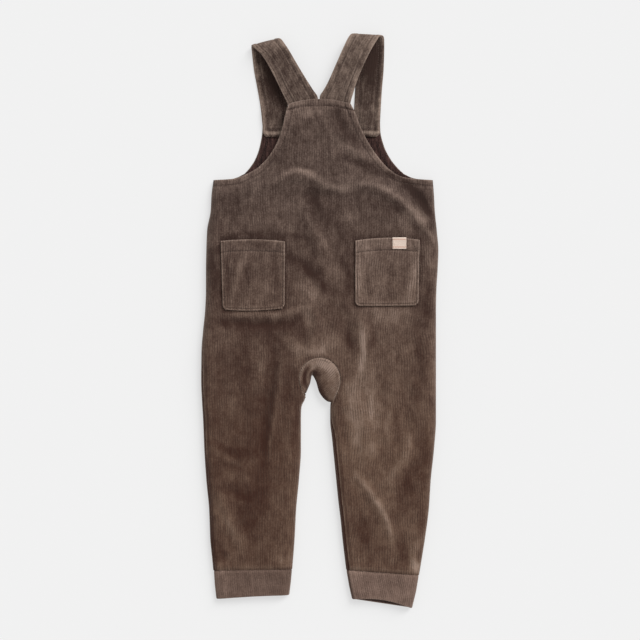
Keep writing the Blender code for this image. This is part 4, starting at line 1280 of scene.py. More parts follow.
    def build(self, finishes: "Finishes") -> None:
        surface = self.surface()
        tone = self.tone(*surface.points[:, :2].T)
        piece = cloth_piece(self.name, surface, self.wall, [finishes.corduroy, finishes.reverse], tone)
        runs = self.hem_runs(4.0, (-35.0, 35.0), lambda x: self.top_y(x) - self.band_width, 0.0, 0.15)
        thread = stitches("back_stitches", runs, finishes.thread)
        declare(piece, "back_panel", "corduroy", thread, flat=(0.31, 0.60), held="laid", rests_on=["front"],
                area=surface.area)


@dataclass
class FrontPanel(Panel):
    """The front, which lies on the floor; its wrong side shows inside the bib.

    The profiles' distances run in from the armholes' and the bib's edges.
    """

    name: str = "front"
    armhole: dict = field(default_factory=lambda: FRONT_ARMHOLE)
    above: bool = False
    wall: float = 1.4
    bib_top: float = 254.0
    hem_height: Profile = Profile((), ((0.35, 7.4, 1.6),), ((0.6, 1.4),))
    hem_inside: Profile = Profile(((0.55, 8.0, 9.2),), ((-0.4, 7.4, 1.5),))
    hem_tone: Profile = Profile(((0.2, 0.4, 3.0),), ((-0.3, 7.4, 1.4),))

    def hem_gap(self, x: Array, y: Array) -> Array:
        """Distance from the nearest of the armholes and the top edge."""
        lines = [self.form.armhole_line(self.armhole, side) for side in Side]
        lines.append(np.linspace(lines[0][-1], lines[1][-1], 20))
        return np.min([from_line(x, y, line)[0] for line in lines], axis=0)

    def height(self, x: Array, y: Array) -> Array:
        """Small relief over the floor: rounded hems, their sewn groove, slow waves and creases."""
        gap, (arch, _) = self.hem_gap(x, y), from_line(x, y, self.form.arch_line())
        level = self.form.inside_share(x, y, lambda gap: ease(gap, 8.0, 22.0))
        level = level * ease(gap, 2.0, 14.0) * ease(arch, 1.0, 12.0)
        waves = np.maximum(ripples(x, y, (0.35, 52.0, 3.0), (0.35, 23.0, 4.0)), 0.0)
        return (waves + self.form.folds(x, y, FRONT_CREASES)) * level + self.hem_height(gap)

    def build(self, finishes: "Finishes") -> None:
        surface, form = self.surface(), self.form
        x, y, z = surface.points.T
        gap = self.hem_gap(x, y)
        tone = ripples(x, y, (0.10, 40.0, 2.0)) + self.hem_tone(gap)
        tone += form.folds(x, y, FRONT_CREASES, "tone", 1.3) * (1 + ripples(x, y, (0.5, 26.0, 2.3)))
        # Painted shade on the front's edges rolled up at the left leg's outer side and the right leg's inner
        # side, which face away from the light.
        for side, edge in ROLLED_SEAMS:
            turn = np.degrees(form.turn_at_seam(side, edge, y))
            share = ease(turn, form.seam_angle, form.seam_angle + 16.0)
            here = (x > 0) & (x < 60) if edge is Edge.INNER else x < -100
            tone -= 1.3 * share * here * ease(z, 1.0, 4.0)
        piece = cloth_piece(self.name, surface, self.wall, [finishes.corduroy, finishes.reverse], tone,
                            self.hem_inside(gap))
        runs = self.hem_runs(8.0, (-64.0, 67.0), lambda x: np.full(x.shape, self.bib_top - self.stitch_in),
                             1.6, self.wall + 0.2)
        thread = stitches("bib_stitches", runs, finishes.dark_thread)
        declare(piece, "front_panel", "corduroy", thread, flat=(0.33, 0.575), held="laid", rests_on=["floor"],
                area=surface.area)


@dataclass
class Gusset:
    """The crotch gusset: from the back's arch over a fold to the front's arch."""

    form: Form = FORM
    fold_z: float = 7.2
    tip_length: float = 4.0
    stitch_in: float = 1.5
    wall: float = 1.8
    rows: int = 97
    columns: int = 17

    def seams(self, share: Array) -> tuple[Array, Array]:
        """Edge points on the back and on the front, turned to both sides of the panels' seam.

        Args:
            share: of the arch, from -1 at its left end to 1 at its right end.

        Returns:
            The back's and the front's points, one a row.
        """
        form = self.form
        backs, fronts = [], []
        for side, here in ((Side.LEFT, share < 0), (Side.RIGHT, share >= 0)):
            x, y = form.arch(side, np.abs(share[here]), -form.seam_gap)
            rounded, turn = form.inner_share(side, y), form.turn_at_seam(side, Edge.INNER, y)
            apart = (0.5 * form.gap_at_seam(side, Edge.INNER, y) - form.seam_gap) / form.seam_radius
            back_x, front_x = (x + side.value * form.round_above * (1 - np.cos(angle)) * rounded
                               for angle in (turn + apart, turn - apart))
            level = form.level_z(front_x, y) - form.seam_z
            front_z = (form.seam_z + level * np.sin(turn - apart)) * rounded
            backs.append(np.column_stack([back_x, y, form.upper_z(back_x, y)]))
            fronts.append(np.column_stack([front_x, y, front_z]))
        return np.vstack(backs), np.vstack(fronts)

    def points(self) -> Array:
        """The grid: each half turns a quarter from its seam to the fold, and its ends are straight."""
        share = np.linspace(-1.0, 1.0, self.rows)
        back, front = self.seams(share)
        fold = [steady(GUSSET_FOLD["share"], GUSSET_FOLD[axis], share) for axis in "xy"]
        crease = np.column_stack([*fold, np.full(self.rows, self.fold_z)])[:, None, :]
        turns = np.linspace(0.0, math.pi / 2, self.columns)[None, :, None]
        halves = []
        for seam in (back[:, None, :], front[:, None, :]):
            flat = mix(seam[..., :2], crease[..., :2], np.sin(turns))
            bent = np.concatenate([flat, mix(crease[..., 2:], seam[..., 2:], np.cos(turns))], axis=-1)
            straight = mix(seam, 0.5 * (back + front)[:, None, :], turns / turns[0, -1])
            halves.append(mix(bent, straight, ease(np.abs(share), 0.86, 1.0)[:, None, None]))
        grid = np.concatenate([halves[0], halves[1][:, -2::-1]], axis=1)
        grid[..., 1] -= self.tip_length * ease(np.abs(share), 0.84, 1.0)[:, None]
        return grid

    def build(self, finishes: "Finishes") -> None:
        points = self.points()
        across = passed_along(points, 1)
        cloth = np.stack(np.broadcast_arrays(passed_along(points[:, 0])[:, None], across), axis=-1)
        surface = grid_surface(points, cloth, turned=True)
        x, y, z = surface.points.T
        edge = np.minimum(across, across[:, -1:] - across).ravel()
        from_fold = np.broadcast_to(0.5 * across[:, -1:], across.shape).ravel() - edge
        tone = 0.35 + 0.75 * (1 - ease(edge, 1.6, 3.2)) + ripples(x, y, (0.12, 13.0, 1.0))
        # Painted shadow and light on the gusset's creases, and painted shade along its fold.
        tone += self.form.folds(x, y, GUSSET_CREASES, "tone", 1.2) * ease(z, 5.0, 8.0)
        tone -= 0.9 * (1 - ease(from_fold, 0.0, 8.0))
        piece = cloth_piece("crotch_gusset", surface, self.wall, [finishes.corduroy, finishes.reverse], tone)
        rows = np.arange(3, self.rows - 3)
        column = np.argmin(np.abs(across - self.stitch_in), axis=1)[rows]
        line, way = points[rows, column], surface.normals.reshape(points.shape)[rows, column]
        thread = stitches("crotch_gusset_stitches", [(line + 0.1 * way, way)], finishes.thread, pitch=2.4,
                          length=1.9, thickness=0.45)
        declare(piece, "gusset", "corduroy", thread, flat=(0.056, 0.092), held="laid",
                rests_on=["back", "front"], area=surface.area)


@dataclass
class PatchPocket:
    """A patch pocket with a sewn hem, rounded lower corners and bar tacks at its mouth.

    The edge's profiles run in from where it is sewn on, the hem's down from its row of stitches.
    """

    side: Side
    back: BackPanel
    wall: float = 1.8
    gap: float = 0.5
    corner: float = 6.5
    stitch_in: float = 2.6
    step: float = 2.4
    edge_steps: tuple[float, ...] = (0.0, 0.4, 0.9, 1.6, 2.1, 2.6, 3.1, 3.8, 4.8, 6.2, 8.0)
    mouth_steps: tuple[float, ...] = (0.0, 0.5, 1.1, 2.0, 3.5, 6.0, 9.0)
    hem_steps: tuple[float, ...] = (-2.2, -1.2, -0.6, 0.0, 0.6, 1.2, 2.4)
    edge_height: Profile = Profile(((0.4, 3.6, 5.4),), ((-0.6, 2.6, 1.3),))
    edge_tone: Profile = Profile(swells=((0.22, 4.4, 2.4), (-0.20, 2.6, 1.0)))
    hem_height: Profile = Profile(((0.45, -0.6, 0.8),))
    hem_tone: Profile = Profile(((0.16, -1.0, 3.0),), ((0.30, 1.9, 1.8), (-0.30, 0.0, 1.1)))

    @property
    def table(self) -> dict:
        """The pocket's own sizes."""
        return POCKETS[self.side.key]

    @staticmethod
    def bowed(ends_and_middle: Sequence[float], across: Array) -> Array:
        """Parabola through a left, a middle and a right value."""
        left, middle, right = ends_and_middle
        return mix(left, right, across) + (middle - 0.5 * (left + right)) * 4 * across * (1 - across)

    def outline(self) -> Array:
        """Points down the left edge, along the bottom and up the right edge, where it is sewn on."""
        down = np.linspace(0.0, 1.0, 60) ** 0.7
        bottom = np.ones(38), np.linspace(0.0, 1.0, 40)[1:-1]
        left, bottom, right = (np.column_stack(self.place(*shares)) for shares in ((down, 0 * down), bottom,
                                                                                   (down, 0 * down + 1)))
        return np.vstack([left, bottom, right[::-1]])

    def place(self, down: Array, across: Array) -> tuple[Array, Array]:
        """x and y at shares down and across: straight sides, drawn in by a circle at the lower corners."""
        table = self.table
        top, bottom = self.bowed(table["top"], across), self.bowed(table["bottom"], across)
        left, right = (mix(table["x_top"][end], table["x_bottom"][end], down) for end in (0, 1))
        depth = (1 - down) * (table["top"][0] - table["bottom"][0])
        inset = self.corner - np.sqrt(self.corner**2 - np.maximum(0.0, self.corner - depth) ** 2)
        return left + inset + (right - left - 2 * inset) * across, mix(top, bottom, down)

    def height(self, x: Array, y: Array) -> Array:
        """Height of the pocket's outer face: the back's, moved out, with hem, puff and sewn edges."""
        return self.back.height(x, y) + self.gap + self.wall + self.relief(x, y)[0]

    def relief(self, x: Array, y: Array) -> tuple[Array, Array]:
        """The pocket's own relief and tone: rounded edges, an edge seam, the hem and a soft puff.

        Args:
            x: places across.
            y: places along.

        Returns:
            The relief in millimetres and the tone.
        """
        table = self.table
        gap, along = from_line(x, y, self.outline())
        left, right = table["x_top"]
        top = self.bowed(table["top"], np.clip((x - left) / (right - left), 0.0, 1.0))
        down = np.maximum(top - y, 0.0)
        nearest, below = np.minimum(gap, down), down - table["hem"]
        height = self.edge_height(gap) + self.hem_height(below) - 0.9 * (1 - rounding(nearest, 1.2))
        height -= 0.7 * bell(below, 1.5) * ease(gap, 1.0, 3.5)
        height += 1.3 * ease(gap, 3.0, 26.0) * ease(down, 10.0, 34.0)
        height += 0.5 * bell(down, 7.0) * ease(gap, 4.0, 22.0)
        height += 0.22 * puckers(along, 1.0, 1.0, 7.0) * bell(gap - self.stitch_in - 1.2, 3.4)
        tone = self.edge_tone(gap) + self.hem_tone(below) + table["base_tone"]
        tone += 0.65 * (1 - ease(nearest, 0.6, 2.6))
        tone += 0.24 * puckers(along, 0.62, 1.2, 4.3) * (1 - ease(gap, 1.5, 6.0))
        tone += ripples(x, y, (0.08, 30.0, 0.4), (0.08, 14.0, 1.4))
        # The creases' tone paints highlights along their ridges and shade in their troughs.
        tone += FORM.folds(x, y, table["creases"], "tone")
        return height + FORM.folds(x, y, table["creases"]), tone

    def surface(self) -> Surface:
        """The outer face on a grid, its rows and columns closer together over the sewn lines."""
        table = self.table
        tall, wide = table["top"][0] - table["bottom"][0], table["x_top"][1] - table["x_top"][0]
        close = np.array(self.edge_steps)
        upper = np.concatenate([self.mouth_steps, table["hem"] + np.array(self.hem_steps)])
        even = [np.linspace(start, end - close[-1], round((end - start - close[-1]) / self.step) + 1)[1:]
                for start, end in ((upper[-1], tall), (close[-1], wide))]
        down, across = (np.concatenate([first, middle, size - close[-2::-1]]) / size
                        for first, middle, size in zip((upper, close), even, (tall, wide)))
        x, y = self.place(*np.broadcast_arrays(down[:, None], across[None, :]))
        return grid_surface(np.stack([x, y, self.height(x, y)], axis=-1), np.stack([x + 0.9, y], axis=-1))

    def runs(self) -> list[Run]:
        """Where its stitches run: round the sewn edge, along the hem, and a bar tack at each corner."""
        table = self.table
        left, right = table["x_top"]
        x, y = beside(self.outline(), self.stitch_in).T
        share = np.linspace(0.04, 0.96, 60)
        hem_y = self.bowed(table["top"], share) - table["hem"]
        lines = [(x, y, 0.15), (mix(left, right, share), hem_y, 0.15)]
        inward, down = np.linspace(9.5, 3.2, 14), np.linspace(2.4, table["hem"] - 1.0, 14)
        for edge_x, top_y, sign in ((left, table["top"][0], 1.0), (right, table["top"][2], -1.0)):
            lines.append((edge_x + sign * inward, top_y - down, 0.2))
        return [on_panel(self.height, *line) for line in lines]

    def build(self, finishes: "Finishes") -> None:
        surface, key, flat = self.surface(), self.side.key, (0.0815, 0.0905)
        tone = self.relief(*surface.points[:, :2].T)[1]
        piece = cloth_piece(f"{key}_pocket", surface, self.wall, [finishes.corduroy, finishes.reverse], tone,
                            rim=0.15)
        thread = stitches(f"{key}_pocket_stitches", self.runs(), finishes.thread, pitch=2.7, length=2.1)
        declare(piece, f"pocket_{key}", "corduroy", thread, flat=flat, held="laid", rests_on=["back"],
                area=min(surface.area, flat[0] * flat[1]))


@dataclass
class WovenTag:
    """The small woven tag on the right pocket's hem."""

    pocket: PatchPocket
    x: tuple[float, float] = (90.6, 107.9)
    y: tuple[float, float] = (89.6, 103.9)
    around: tuple[float, float, float] = (-1.5, 0.0, 1.5)
    sewn_in: float = 1.1
    wall: float = 0.5
    gap: float = 0.35

    def height(self, x: Array, y: Array) -> Array:
        """The pocket's height averaged around each place, moved out, with thin selvedges."""
        near = [self.pocket.height(x + across, y + up) for across in self.around for up in self.around]
        side = np.minimum(x - self.x[0], self.x[1] - x)
        over = np.maximum(sum(near) / len(near), self.pocket.height(x, y)) + self.gap + self.wall
        return over - 0.25 * (1 - rounding(side, 0.7))

    def build(self, finishes: "Finishes") -> None:
        x, y = np.meshgrid(np.linspace(*self.x, 26), np.linspace(*self.y[::-1], 22))
        cloth = np.stack([x - sum(self.x) / 2, y - sum(self.y) / 2], axis=-1)
        surface = grid_surface(np.stack([x, y, self.height(x, y)], axis=-1), cloth)
        piece = cloth_piece("woven_tag", surface, self.wall, [finishes.woven, finishes.woven],
                            np.zeros(len(surface.points)), rim=0.1)
        line = np.linspace(self.y[0] + 0.8, self.y[1] - 0.8, 12)
        sewn = self.x[0] + self.sewn_in, self.x[1] - self.sewn_in
        runs = [on_panel(self.height, np.full(12, end_x), line, 0.08) for end_x in sewn]
        thread = stitches("woven_tag_stitches", runs, finishes.tag_thread, pitch=2.0, length=1.5,
                          thickness=0.32)
        declare(piece, "label", "woven_label", thread, flat=(0.0173, 0.0143), held="laid",
                rests_on=["right_pocket"])


@dataclass
class Strap:
    """A shoulder strap of two layers, from inside the bib round a fold to the back's band.

    The edge's profiles run in from both edges, the end's and the box's from the sewn end. Base tone is
    how much lighter the pile lies before the fold and after it. Shade is a painted shadow, of the
    strap's other half and under its fold, on the inner face before the fold, rising between two
    shares of the width and between two lengths.
    """

    side: Side
    base_tone: tuple[float, float]
    shade: tuple[float, float, float, float]
    wall: float = 3.0
    stitch_in: float = 7.3
    box_in: float = 10.0
    rows: int = 150
    edge_height: Profile = Profile(
        (), ((-0.5, 7.3, 1.5), (0.35, 3.9, 3.4), (0.15, 17.0, 9.0)), ((-0.5, 1.8),)
    )
    edge_tone: Profile = Profile(((0.55, 1.2, 3.6), (0.34, 4.6, 6.8)), ((-0.22, 7.3, 1.1),))
    # The end's tone paints shade under the rolled end, then a lighter band and a darker line above it.
    end_tone: Profile = Profile(((-0.3, 0.5, 2.6),), ((1.25, 5.4, 3.8), (-0.35, 8.8, 1.3)))
    box_tone: Profile = Profile(swells=((0.45, 12.6, 2.4), (-0.3, 10.0, 1.2)))

    def relief(self, gap: Array, length: Array) -> Array:
        """How far out the face stands at a distance from the edges and a length from the sewn end."""
        wave = puckers(length, 1.1, 1.3, 8.0) + 0.5 * np.sin(length / 2.3)
        relief = self.edge_height(gap) - 0.35 - 0.5 * (1 - rounding(length, 1.8))
        relief -= 0.7 * bell(length - self.box_in, 1.6) * (gap > self.stitch_in)
        return relief + 0.12 * wave * bell(gap - self.stitch_in, 5.0)

    def tones(self, gap: Array, length: Array, share: Array) -> tuple[Array, Array]:
        """Tone of the outer face and of the inner one, which carries the painted shadow.

        Args:
            gap: distance from the nearer edge.
            length: from the sewn end.
            share: of the width, from the outer edge.

        Returns:
            Both tones, shaped as gap.
        """
        total = length[-1, 0]
        tone = self.edge_tone(gap) + self.end_tone(length) + self.box_tone(length) * (gap > self.stitch_in)
        tone += 0.34 * bell(gap - self.stitch_in - 2.0, 1.9) * (length > self.box_in)
        tone += ripples(length, gap, (0.14, 40.0, 1.0 + self.side.value), (0.10, 18.0, 3.0))
        tone += 0.10 * puckers(length, 0.8, 1.2, 5.0) * (1 - ease(gap, 4.0, 8.0))
        turned_over = ease(length, 0.45 * total, 0.55 * total)
        tone += mix(*self.base_tone, turned_over) + turned_over * 0.42 * bell(length / total - 0.60, 0.10)
        # Painted shadow of the strap's other half and of its fold on the inner face before the fold.
        painted_shadow = ease(share, *self.shade[:2]) * ease(length, *self.shade[2:])
        return tone, tone - 1.45 * (1 - turned_over) * painted_shadow

    def build(self, finishes: "Finishes") -> None:
        key = self.side.key
        rows = drawn(np.array(STRAPS[key]), self.rows)
        width = float(np.linalg.norm(rows[:, 3:] - rows[:, :3], axis=1).mean())
        close = np.array(HEM_STEPS)
        middle = np.linspace(close[-1], width - close[-1], 7)[1:]
        place = np.concatenate([close, middle, width - close[-2::-1]])
        points = mix(rows[:, None, :3], rows[:, None, 3:], (place / width)[None, :, None])
        across, length = np.broadcast_arrays(place[None, :], passed_along(points.mean(axis=1))[:, None])
        gap = np.minimum(across, width - across)
        relief = self.relief(gap, length)
        tone, inner_tone = (part.ravel() for part in self.tones(gap, length, across / width))
        surface = grid_surface(points, np.stack([across, length], axis=-1), turned=self.side is Side.RIGHT)
        surface.points = surface.points + surface.normals * relief.reshape(-1, 1)
        piece = cloth_piece(f"{key}_strap", surface, self.wall, [finishes.strap, finishes.strap], tone,
                            2 * relief.ravel(), 0.35, inner_tone)
        grid, way = surface.points.reshape(points.shape), surface.normals.reshape(points.shape)
        under = grid - way * (self.wall + 2 * relief[..., None] + 0.1)
        runs = []
        for distance in (self.stitch_in, place[-1] - self.stitch_in):
            column = int(np.argmin(np.abs(place - distance)))
            runs += [((grid + 0.1 * way)[:, column], way[:, column]), (under[:, column], -way[:, column])]
        row = int(np.argmin(np.abs(length[:, 0] - self.box_in)))
        inside = (place > self.stitch_in) & (place < place[-1] - self.stitch_in)
        runs.append((under[row, inside], -way[row, inside]))
        thread = stitches(f"{key}_strap_stitches", runs, finishes.thread)
        declare(piece, f"strap_{key}", "corduroy", thread, flat=(0.036, round(float(length[-1, 0]) * MM, 4)),
                held="folded", rests_on=["front", "floor"])


@dataclass
class Cuff:
    """A knitted band round a leg's end, laid flat, with its mouth a little open.

    The profiles' distances run down from the leg's seam, up from the mouth and in from the left edge.
    """

    side: Side
    base_tone: float
    form: Form = FORM
    wall: float = 2.2
    depth: float = 37.0
    steps: tuple[int, int, int] = (7, 22, 7)
    seam_height: Profile = Profile(swells=((-0.4, 0.0, 2.4),))
    mouth_height: Profile = Profile(roundings=((-0.8, 2.2),))
    seam_tone: Profile = Profile(swells=((0.22, 2.0, 2.2),))
    mouth_tone: Profile = Profile(((0.25, 0.3, 2.5),))
    rolled_tone: Profile = Profile(swells=((0.4, 4.4, 1.8), (-1.0, 1.6, 2.4)))

    def rings(self, share: Array) -> Array:
        """Closed rings at shares of the way to the mouth: quarter ellipses at both edges, level between.

        Args:
            share: one a ring.

        Returns:
            Rings by columns by three.
        """
        form, table = self.form, np.array(CUFFS[self.side.key])
        left_x, left_y, right_x, right_y, top = (
            np.interp(share, (0.0, 0.5, 1.0), column)[:, None] for column in table.T)
        upper, lower = np.linspace(0.0, math.pi / 2, 12), np.linspace(math.pi / 2, 0.0, 9)[:-1]
        (left, right), (low_left, low_right) = (
            [edge + sign * reach * (1 - np.cos(turns)) for edge, sign in ((left_x, 1), (right_x, -1))]
            for reach, turns in ((form.round_above, upper), (form.round_below, lower))
        )
        top_run, base_run = np.linspace(0.0, 1.0, 38)[1:-1], np.linspace(0.0, 1.0, 30)[1:-1]
        rise = (top - form.seam_z) * np.sin(upper)
        fall = form.seam_z * (1 - np.sin(lower)) + 0 * top
        x = np.hstack([left, mix(left[:, -1:], right[:, -1:], top_run), right[:, ::-1],
                       low_right[:, ::-1], mix(low_right[:, :1], low_left[:, :1], base_run), low_left])
        z = np.hstack([form.seam_z + np.hstack([rise, rise[:, -1:] + 0 * top_run, rise[:, ::-1]]),
                       fall[:, ::-1], 0 * base_run + 0 * top, fall])
        across = (x - left_x) / (right_x - left_x)
        lift = MOUTH_LIFT[self.side.key] * share[:, None] ** 2
        y = mix(left_y, right_y, across)
        y = y + lift * np.sin(math.pi * across) * np.clip(z / form.seam_z - 1, 0.0, 1.0)
        return np.stack([x, y, z], axis=-1)

    def build(self, finishes: "Finishes") -> None:
        """Makes the band from closed rings of points between the leg's end and the mouth."""
        form, side = self.form, self.side
        above, middle, below = self.steps
        share = np.concatenate([np.linspace(0.0, 0.12, above), np.linspace(0.12, 0.93, middle)[1:-1],
                                np.linspace(0.93, 1.0, below)])
        points = self.rings(share)
        x, y, z = np.moveaxis(points, -1, 0)
        upper = z > form.seam_z
        around = passed_along(np.concatenate([points, points[:, :1]], axis=1), 1)
        passed, length = around[:, :-1], np.broadcast_to(self.depth * share[:, None], x.shape)
        to_mouth = self.depth - length
        relief = self.seam_height(length) + self.mouth_height(to_mouth)
        relief += ripples(x, y, (0.35, 30.0, 2.0 + side.value)) * upper
        relief += 0.2 * puckers(x, 1.3, 1.5, 7.0) * np.exp(-length / 7.0) * upper
        surface = grid_surface(points, np.stack([passed, length], axis=-1), ring=True)
        surface.points = surface.points + surface.normals * relief.reshape(-1, 1)
        surface.points[:, 2] = np.maximum(surface.points[:, 2], 0.0)
        tone = self.base_tone + 0.2 * max(self.base_tone, 0.0) * length / self.depth + ripples(x, y, (0.12, 26.0, 0.3))
        tone += self.seam_tone(length) + self.mouth_tone(to_mouth) + form.patch_tone(x, y) * upper
        # The right cuff's rolled left edge is painted dark, as shade on the side away from the light, with a
        # lighter line inside it.
        if side is Side.RIGHT:
            tone += self.rolled_tone(x - x[:, :1]) * (z > 1.0)
        piece = cloth_piece(f"{side.key}_cuff", surface, self.wall, [finishes.rib, finishes.rib_inside],
                            tone.ravel(), (0.7 * relief).ravel(), rim=0.45)
        declare(piece, f"cuff_{side.key}", "cuff_corduroy", held="laid", rests_on=["floor"],
                flat=(round(float(around[:, -1].mean()) * MM, 4), 0.0385))


# ---------------------------------------------------------------------------- finishes


@dataclass
class Graph:
    """Adds nodes to one tree and joins them."""

    tree: bpy.types.NodeTree

    def add(self, kind: str, inputs: dict | None = None, **settings: object) -> bpy.types.Node:
        """Adds a node.

        Args:
            kind: the node's type.
            inputs: a value or an output socket for each of its inputs by name or number.
            settings: the node's own properties.

        Returns:
            The node.
        """
        node = self.tree.nodes.new(kind)
        for name, value in settings.items():
            setattr(node, name, value)
        for socket, value in (inputs or {}).items():
            if isinstance(value, bpy.types.NodeSocket):
                self.tree.links.new(value, node.inputs[socket])
            else:
                node.inputs[socket].default_value = value
        return node

    def math(self, operation: str, *values: object) -> bpy.types.NodeSocket:
        """One step of arithmetic on up to three values or sockets."""
        return self.add("ShaderNodeMath", dict(enumerate(values)), operation=operation).outputs[0]

    def sum(self, total: object, *parts: tuple[object, object]) -> bpy.types.NodeSocket:
        """A value, with each part times its weight added to it."""
        for part, weight in parts:
            total = self.math("MULTIPLY_ADD", part, weight, total)
        return total

    def blend(self, factor: object, first: object, second: object, how: str = "MIX") -> bpy.types.NodeSocket:
        """The first colour where the factor is 0 and the second, or both multiplied, where it is 1."""
        inputs = {0: factor}
        for number, colour in ((6, first), (7, second)):
            inputs[number] = (*colour, 1.0) if isinstance(colour, tuple) else colour
        return self.add("ShaderNodeMix", inputs, data_type="RGBA", blend_type=how).outputs[2]

    def noise(self, vector: object, scale: float, detail: float = 2.0, rough: float = 0.5
              ) -> bpy.types.NodeSocket:
        """Cloudy noise from 0 to 1."""
        inputs = {"Vector": vector, "Scale": scale, "Detail": detail, "Roughness": rough}
        return self.add("ShaderNodeTexNoise", inputs).outputs[0]

    def clouds(self, *noise: object) -> bpy.types.NodeSocket:
        """The same noise, centred on 0."""
        return self.math("SUBTRACT", self.noise(*noise), 0.5)

    def spread(self, value: object, low: object, high: float, start: float = 0.0, end: float = 1.0
               ) -> bpy.types.NodeSocket:
        """A value between low and high moved to between start and end, and held there."""
        return self.add("ShaderNodeMapRange", {0: value, 1: low, 2: high, 3: start, 4: end}).outputs[0]

    def scaled(self, vector: object, along: float) -> bpy.types.NodeSocket:
        """Places whose second coordinate is made smaller, so that a pattern is drawn out along it."""
        return self.add("ShaderNodeMapping", {"Vector": vector, "Scale": (1.0, along, 1.0)}).outputs[0]

    def cloth(self) -> bpy.types.NodeSocket:
        """Places on the flat cloth."""
        return self.add("ShaderNodeUVMap", uv_map="cloth").outputs[0]

    def space(self) -> bpy.types.NodeSocket:
        """Places on the garment."""
        return self.add("ShaderNodeTexCoord").outputs["Object"]

    def shade(self, colour: object, height: object, distance: float, shader: dict) -> None:
        """Ends a material: a colour and a bump of some height on the shader with its own values."""
        bump = self.add("ShaderNodeBump", {"Height": height, "Distance": distance}).outputs[0]
        node = self.add("ShaderNodeBsdfPrincipled", {"Base Color": colour, "Normal": bump, **shader})
        self.add("ShaderNodeOutputMaterial", {0: node.outputs[0]})


def open_material(name: str) -> tuple[bpy.types.Material, Graph]:
    """A new material without nodes, and its graph."""
    material = bpy.data.materials.new(name)
    material.use_nodes = True
    material.node_tree.nodes.clear()
    return material, Graph(material.node_tree)


def open_group(name: str, inputs: dict[str, float], outputs: Sequence[str]) -> tuple[Graph, bpy.types.Node]:
    """A new node group with number sockets: its graph and its input node."""
    tree = bpy.data.node_groups.new(name, "ShaderNodeTree")
    for label, value in inputs.items():
        tree.interface.new_socket(label, in_out="INPUT", socket_type="NodeSocketFloat").default_value = value
    for label in outputs:
        tree.interface.new_socket(label, in_out="OUTPUT", socket_type="NodeSocketFloat")
    graph = Graph(tree)
    return graph, graph.add("NodeGroupInput")


def wales_group() -> bpy.types.NodeTree:
    """Raised cords along the cloth: a cosine across the cloth's map, bent by slow and fine noise.

    Height is the cosine's upper part, Valley is 1 between two cords, where it paints shade into the
    colour, both less where the pile has closed over, and Cord differs from cord to cord.
    """
    graph, start = open_group("cloth_wales", {"Pitch": 0.003, "Wander": 5.0, "Jitter": 0.5, "Bite": 0.4},
                              ("Height", "Valley", "Cord"))
    pitch, wander, jitter, bite = (start.outputs[number] for number in range(4))
    place = graph.cloth()
    across = graph.add("ShaderNodeSeparateXYZ", {0: place}).outputs[0]
    phase = graph.sum(graph.math("DIVIDE", across, pitch), (graph.clouds(place, 13.0, 1.0), wander),
                      (graph.clouds(place, 170.0, 2.0), jitter))
    wave = graph.math("COSINE", graph.math("MULTIPLY", phase, 2 * math.pi))
    crest = graph.math("MULTIPLY_ADD", wave, 0.5, 0.5)
    open_pile = graph.spread(graph.noise(place, 75.0, 3.0, 0.6), 0.38, 0.6, 0.25, 1.0)
    graph.add("NodeGroupOutput", {
        "Height": graph.math("MULTIPLY", graph.math("POWER", crest, 0.6), open_pile),
        "Valley": graph.math("MULTIPLY", graph.spread(crest, bite, 0.0), open_pile),
        "Cord": graph.add("ShaderNodeTexWhiteNoise", {"W": graph.math("ROUND", phase)},
                          noise_dimensions="1D").outputs[0],
    })
    return graph.tree


def nap_and_light_group() -> bpy.types.NodeTree:
    """How the pile lies, with painted light and shade: the mesh's tone, which holds painted highlights and
    shade as well as the pile's own lie, clouds, patches and streaks along the cloth.

    Tone is about -1 to 1, Fuzz is fine noise round 0, and Down is 0 at the top edge and 1 at the
    legs, where patches and fuzz are quieter.
    """
    graph, start = open_group("nap_and_painted_light", {"Clouds": 0.5, "Patches": 0.5, "Streaks": 0.4},
                              ("Tone", "Fuzz", "Down"))
    clouds, patches, streaks = (start.outputs[number] for number in range(3))
    place = graph.space()
    own = graph.add("ShaderNodeAttribute", attribute_name="tone").outputs["Fac"]
    down = graph.spread(graph.add("ShaderNodeSeparateXYZ", {0: place}).outputs[1], 0.16, -0.16)
    rough = graph.math("MULTIPLY_ADD", down, -0.42, 1.12)
    brushed = graph.math("MULTIPLY", graph.clouds(graph.scaled(place, 0.55), 150.0, 4.0, 0.7), rough)
    graph.add("NodeGroupOutput", {
        "Tone": graph.sum(own, (graph.clouds(place, 24.0, 3.0, 0.6), clouds), (brushed, patches),
                          (graph.clouds(graph.scaled(graph.cloth(), 0.09), 620.0, 2.0, 0.6), streaks)),
        "Fuzz": graph.math("MULTIPLY", graph.clouds(place, 540.0, 3.0, 0.75), rough),
        "Down": down,
    })
    return graph.tree


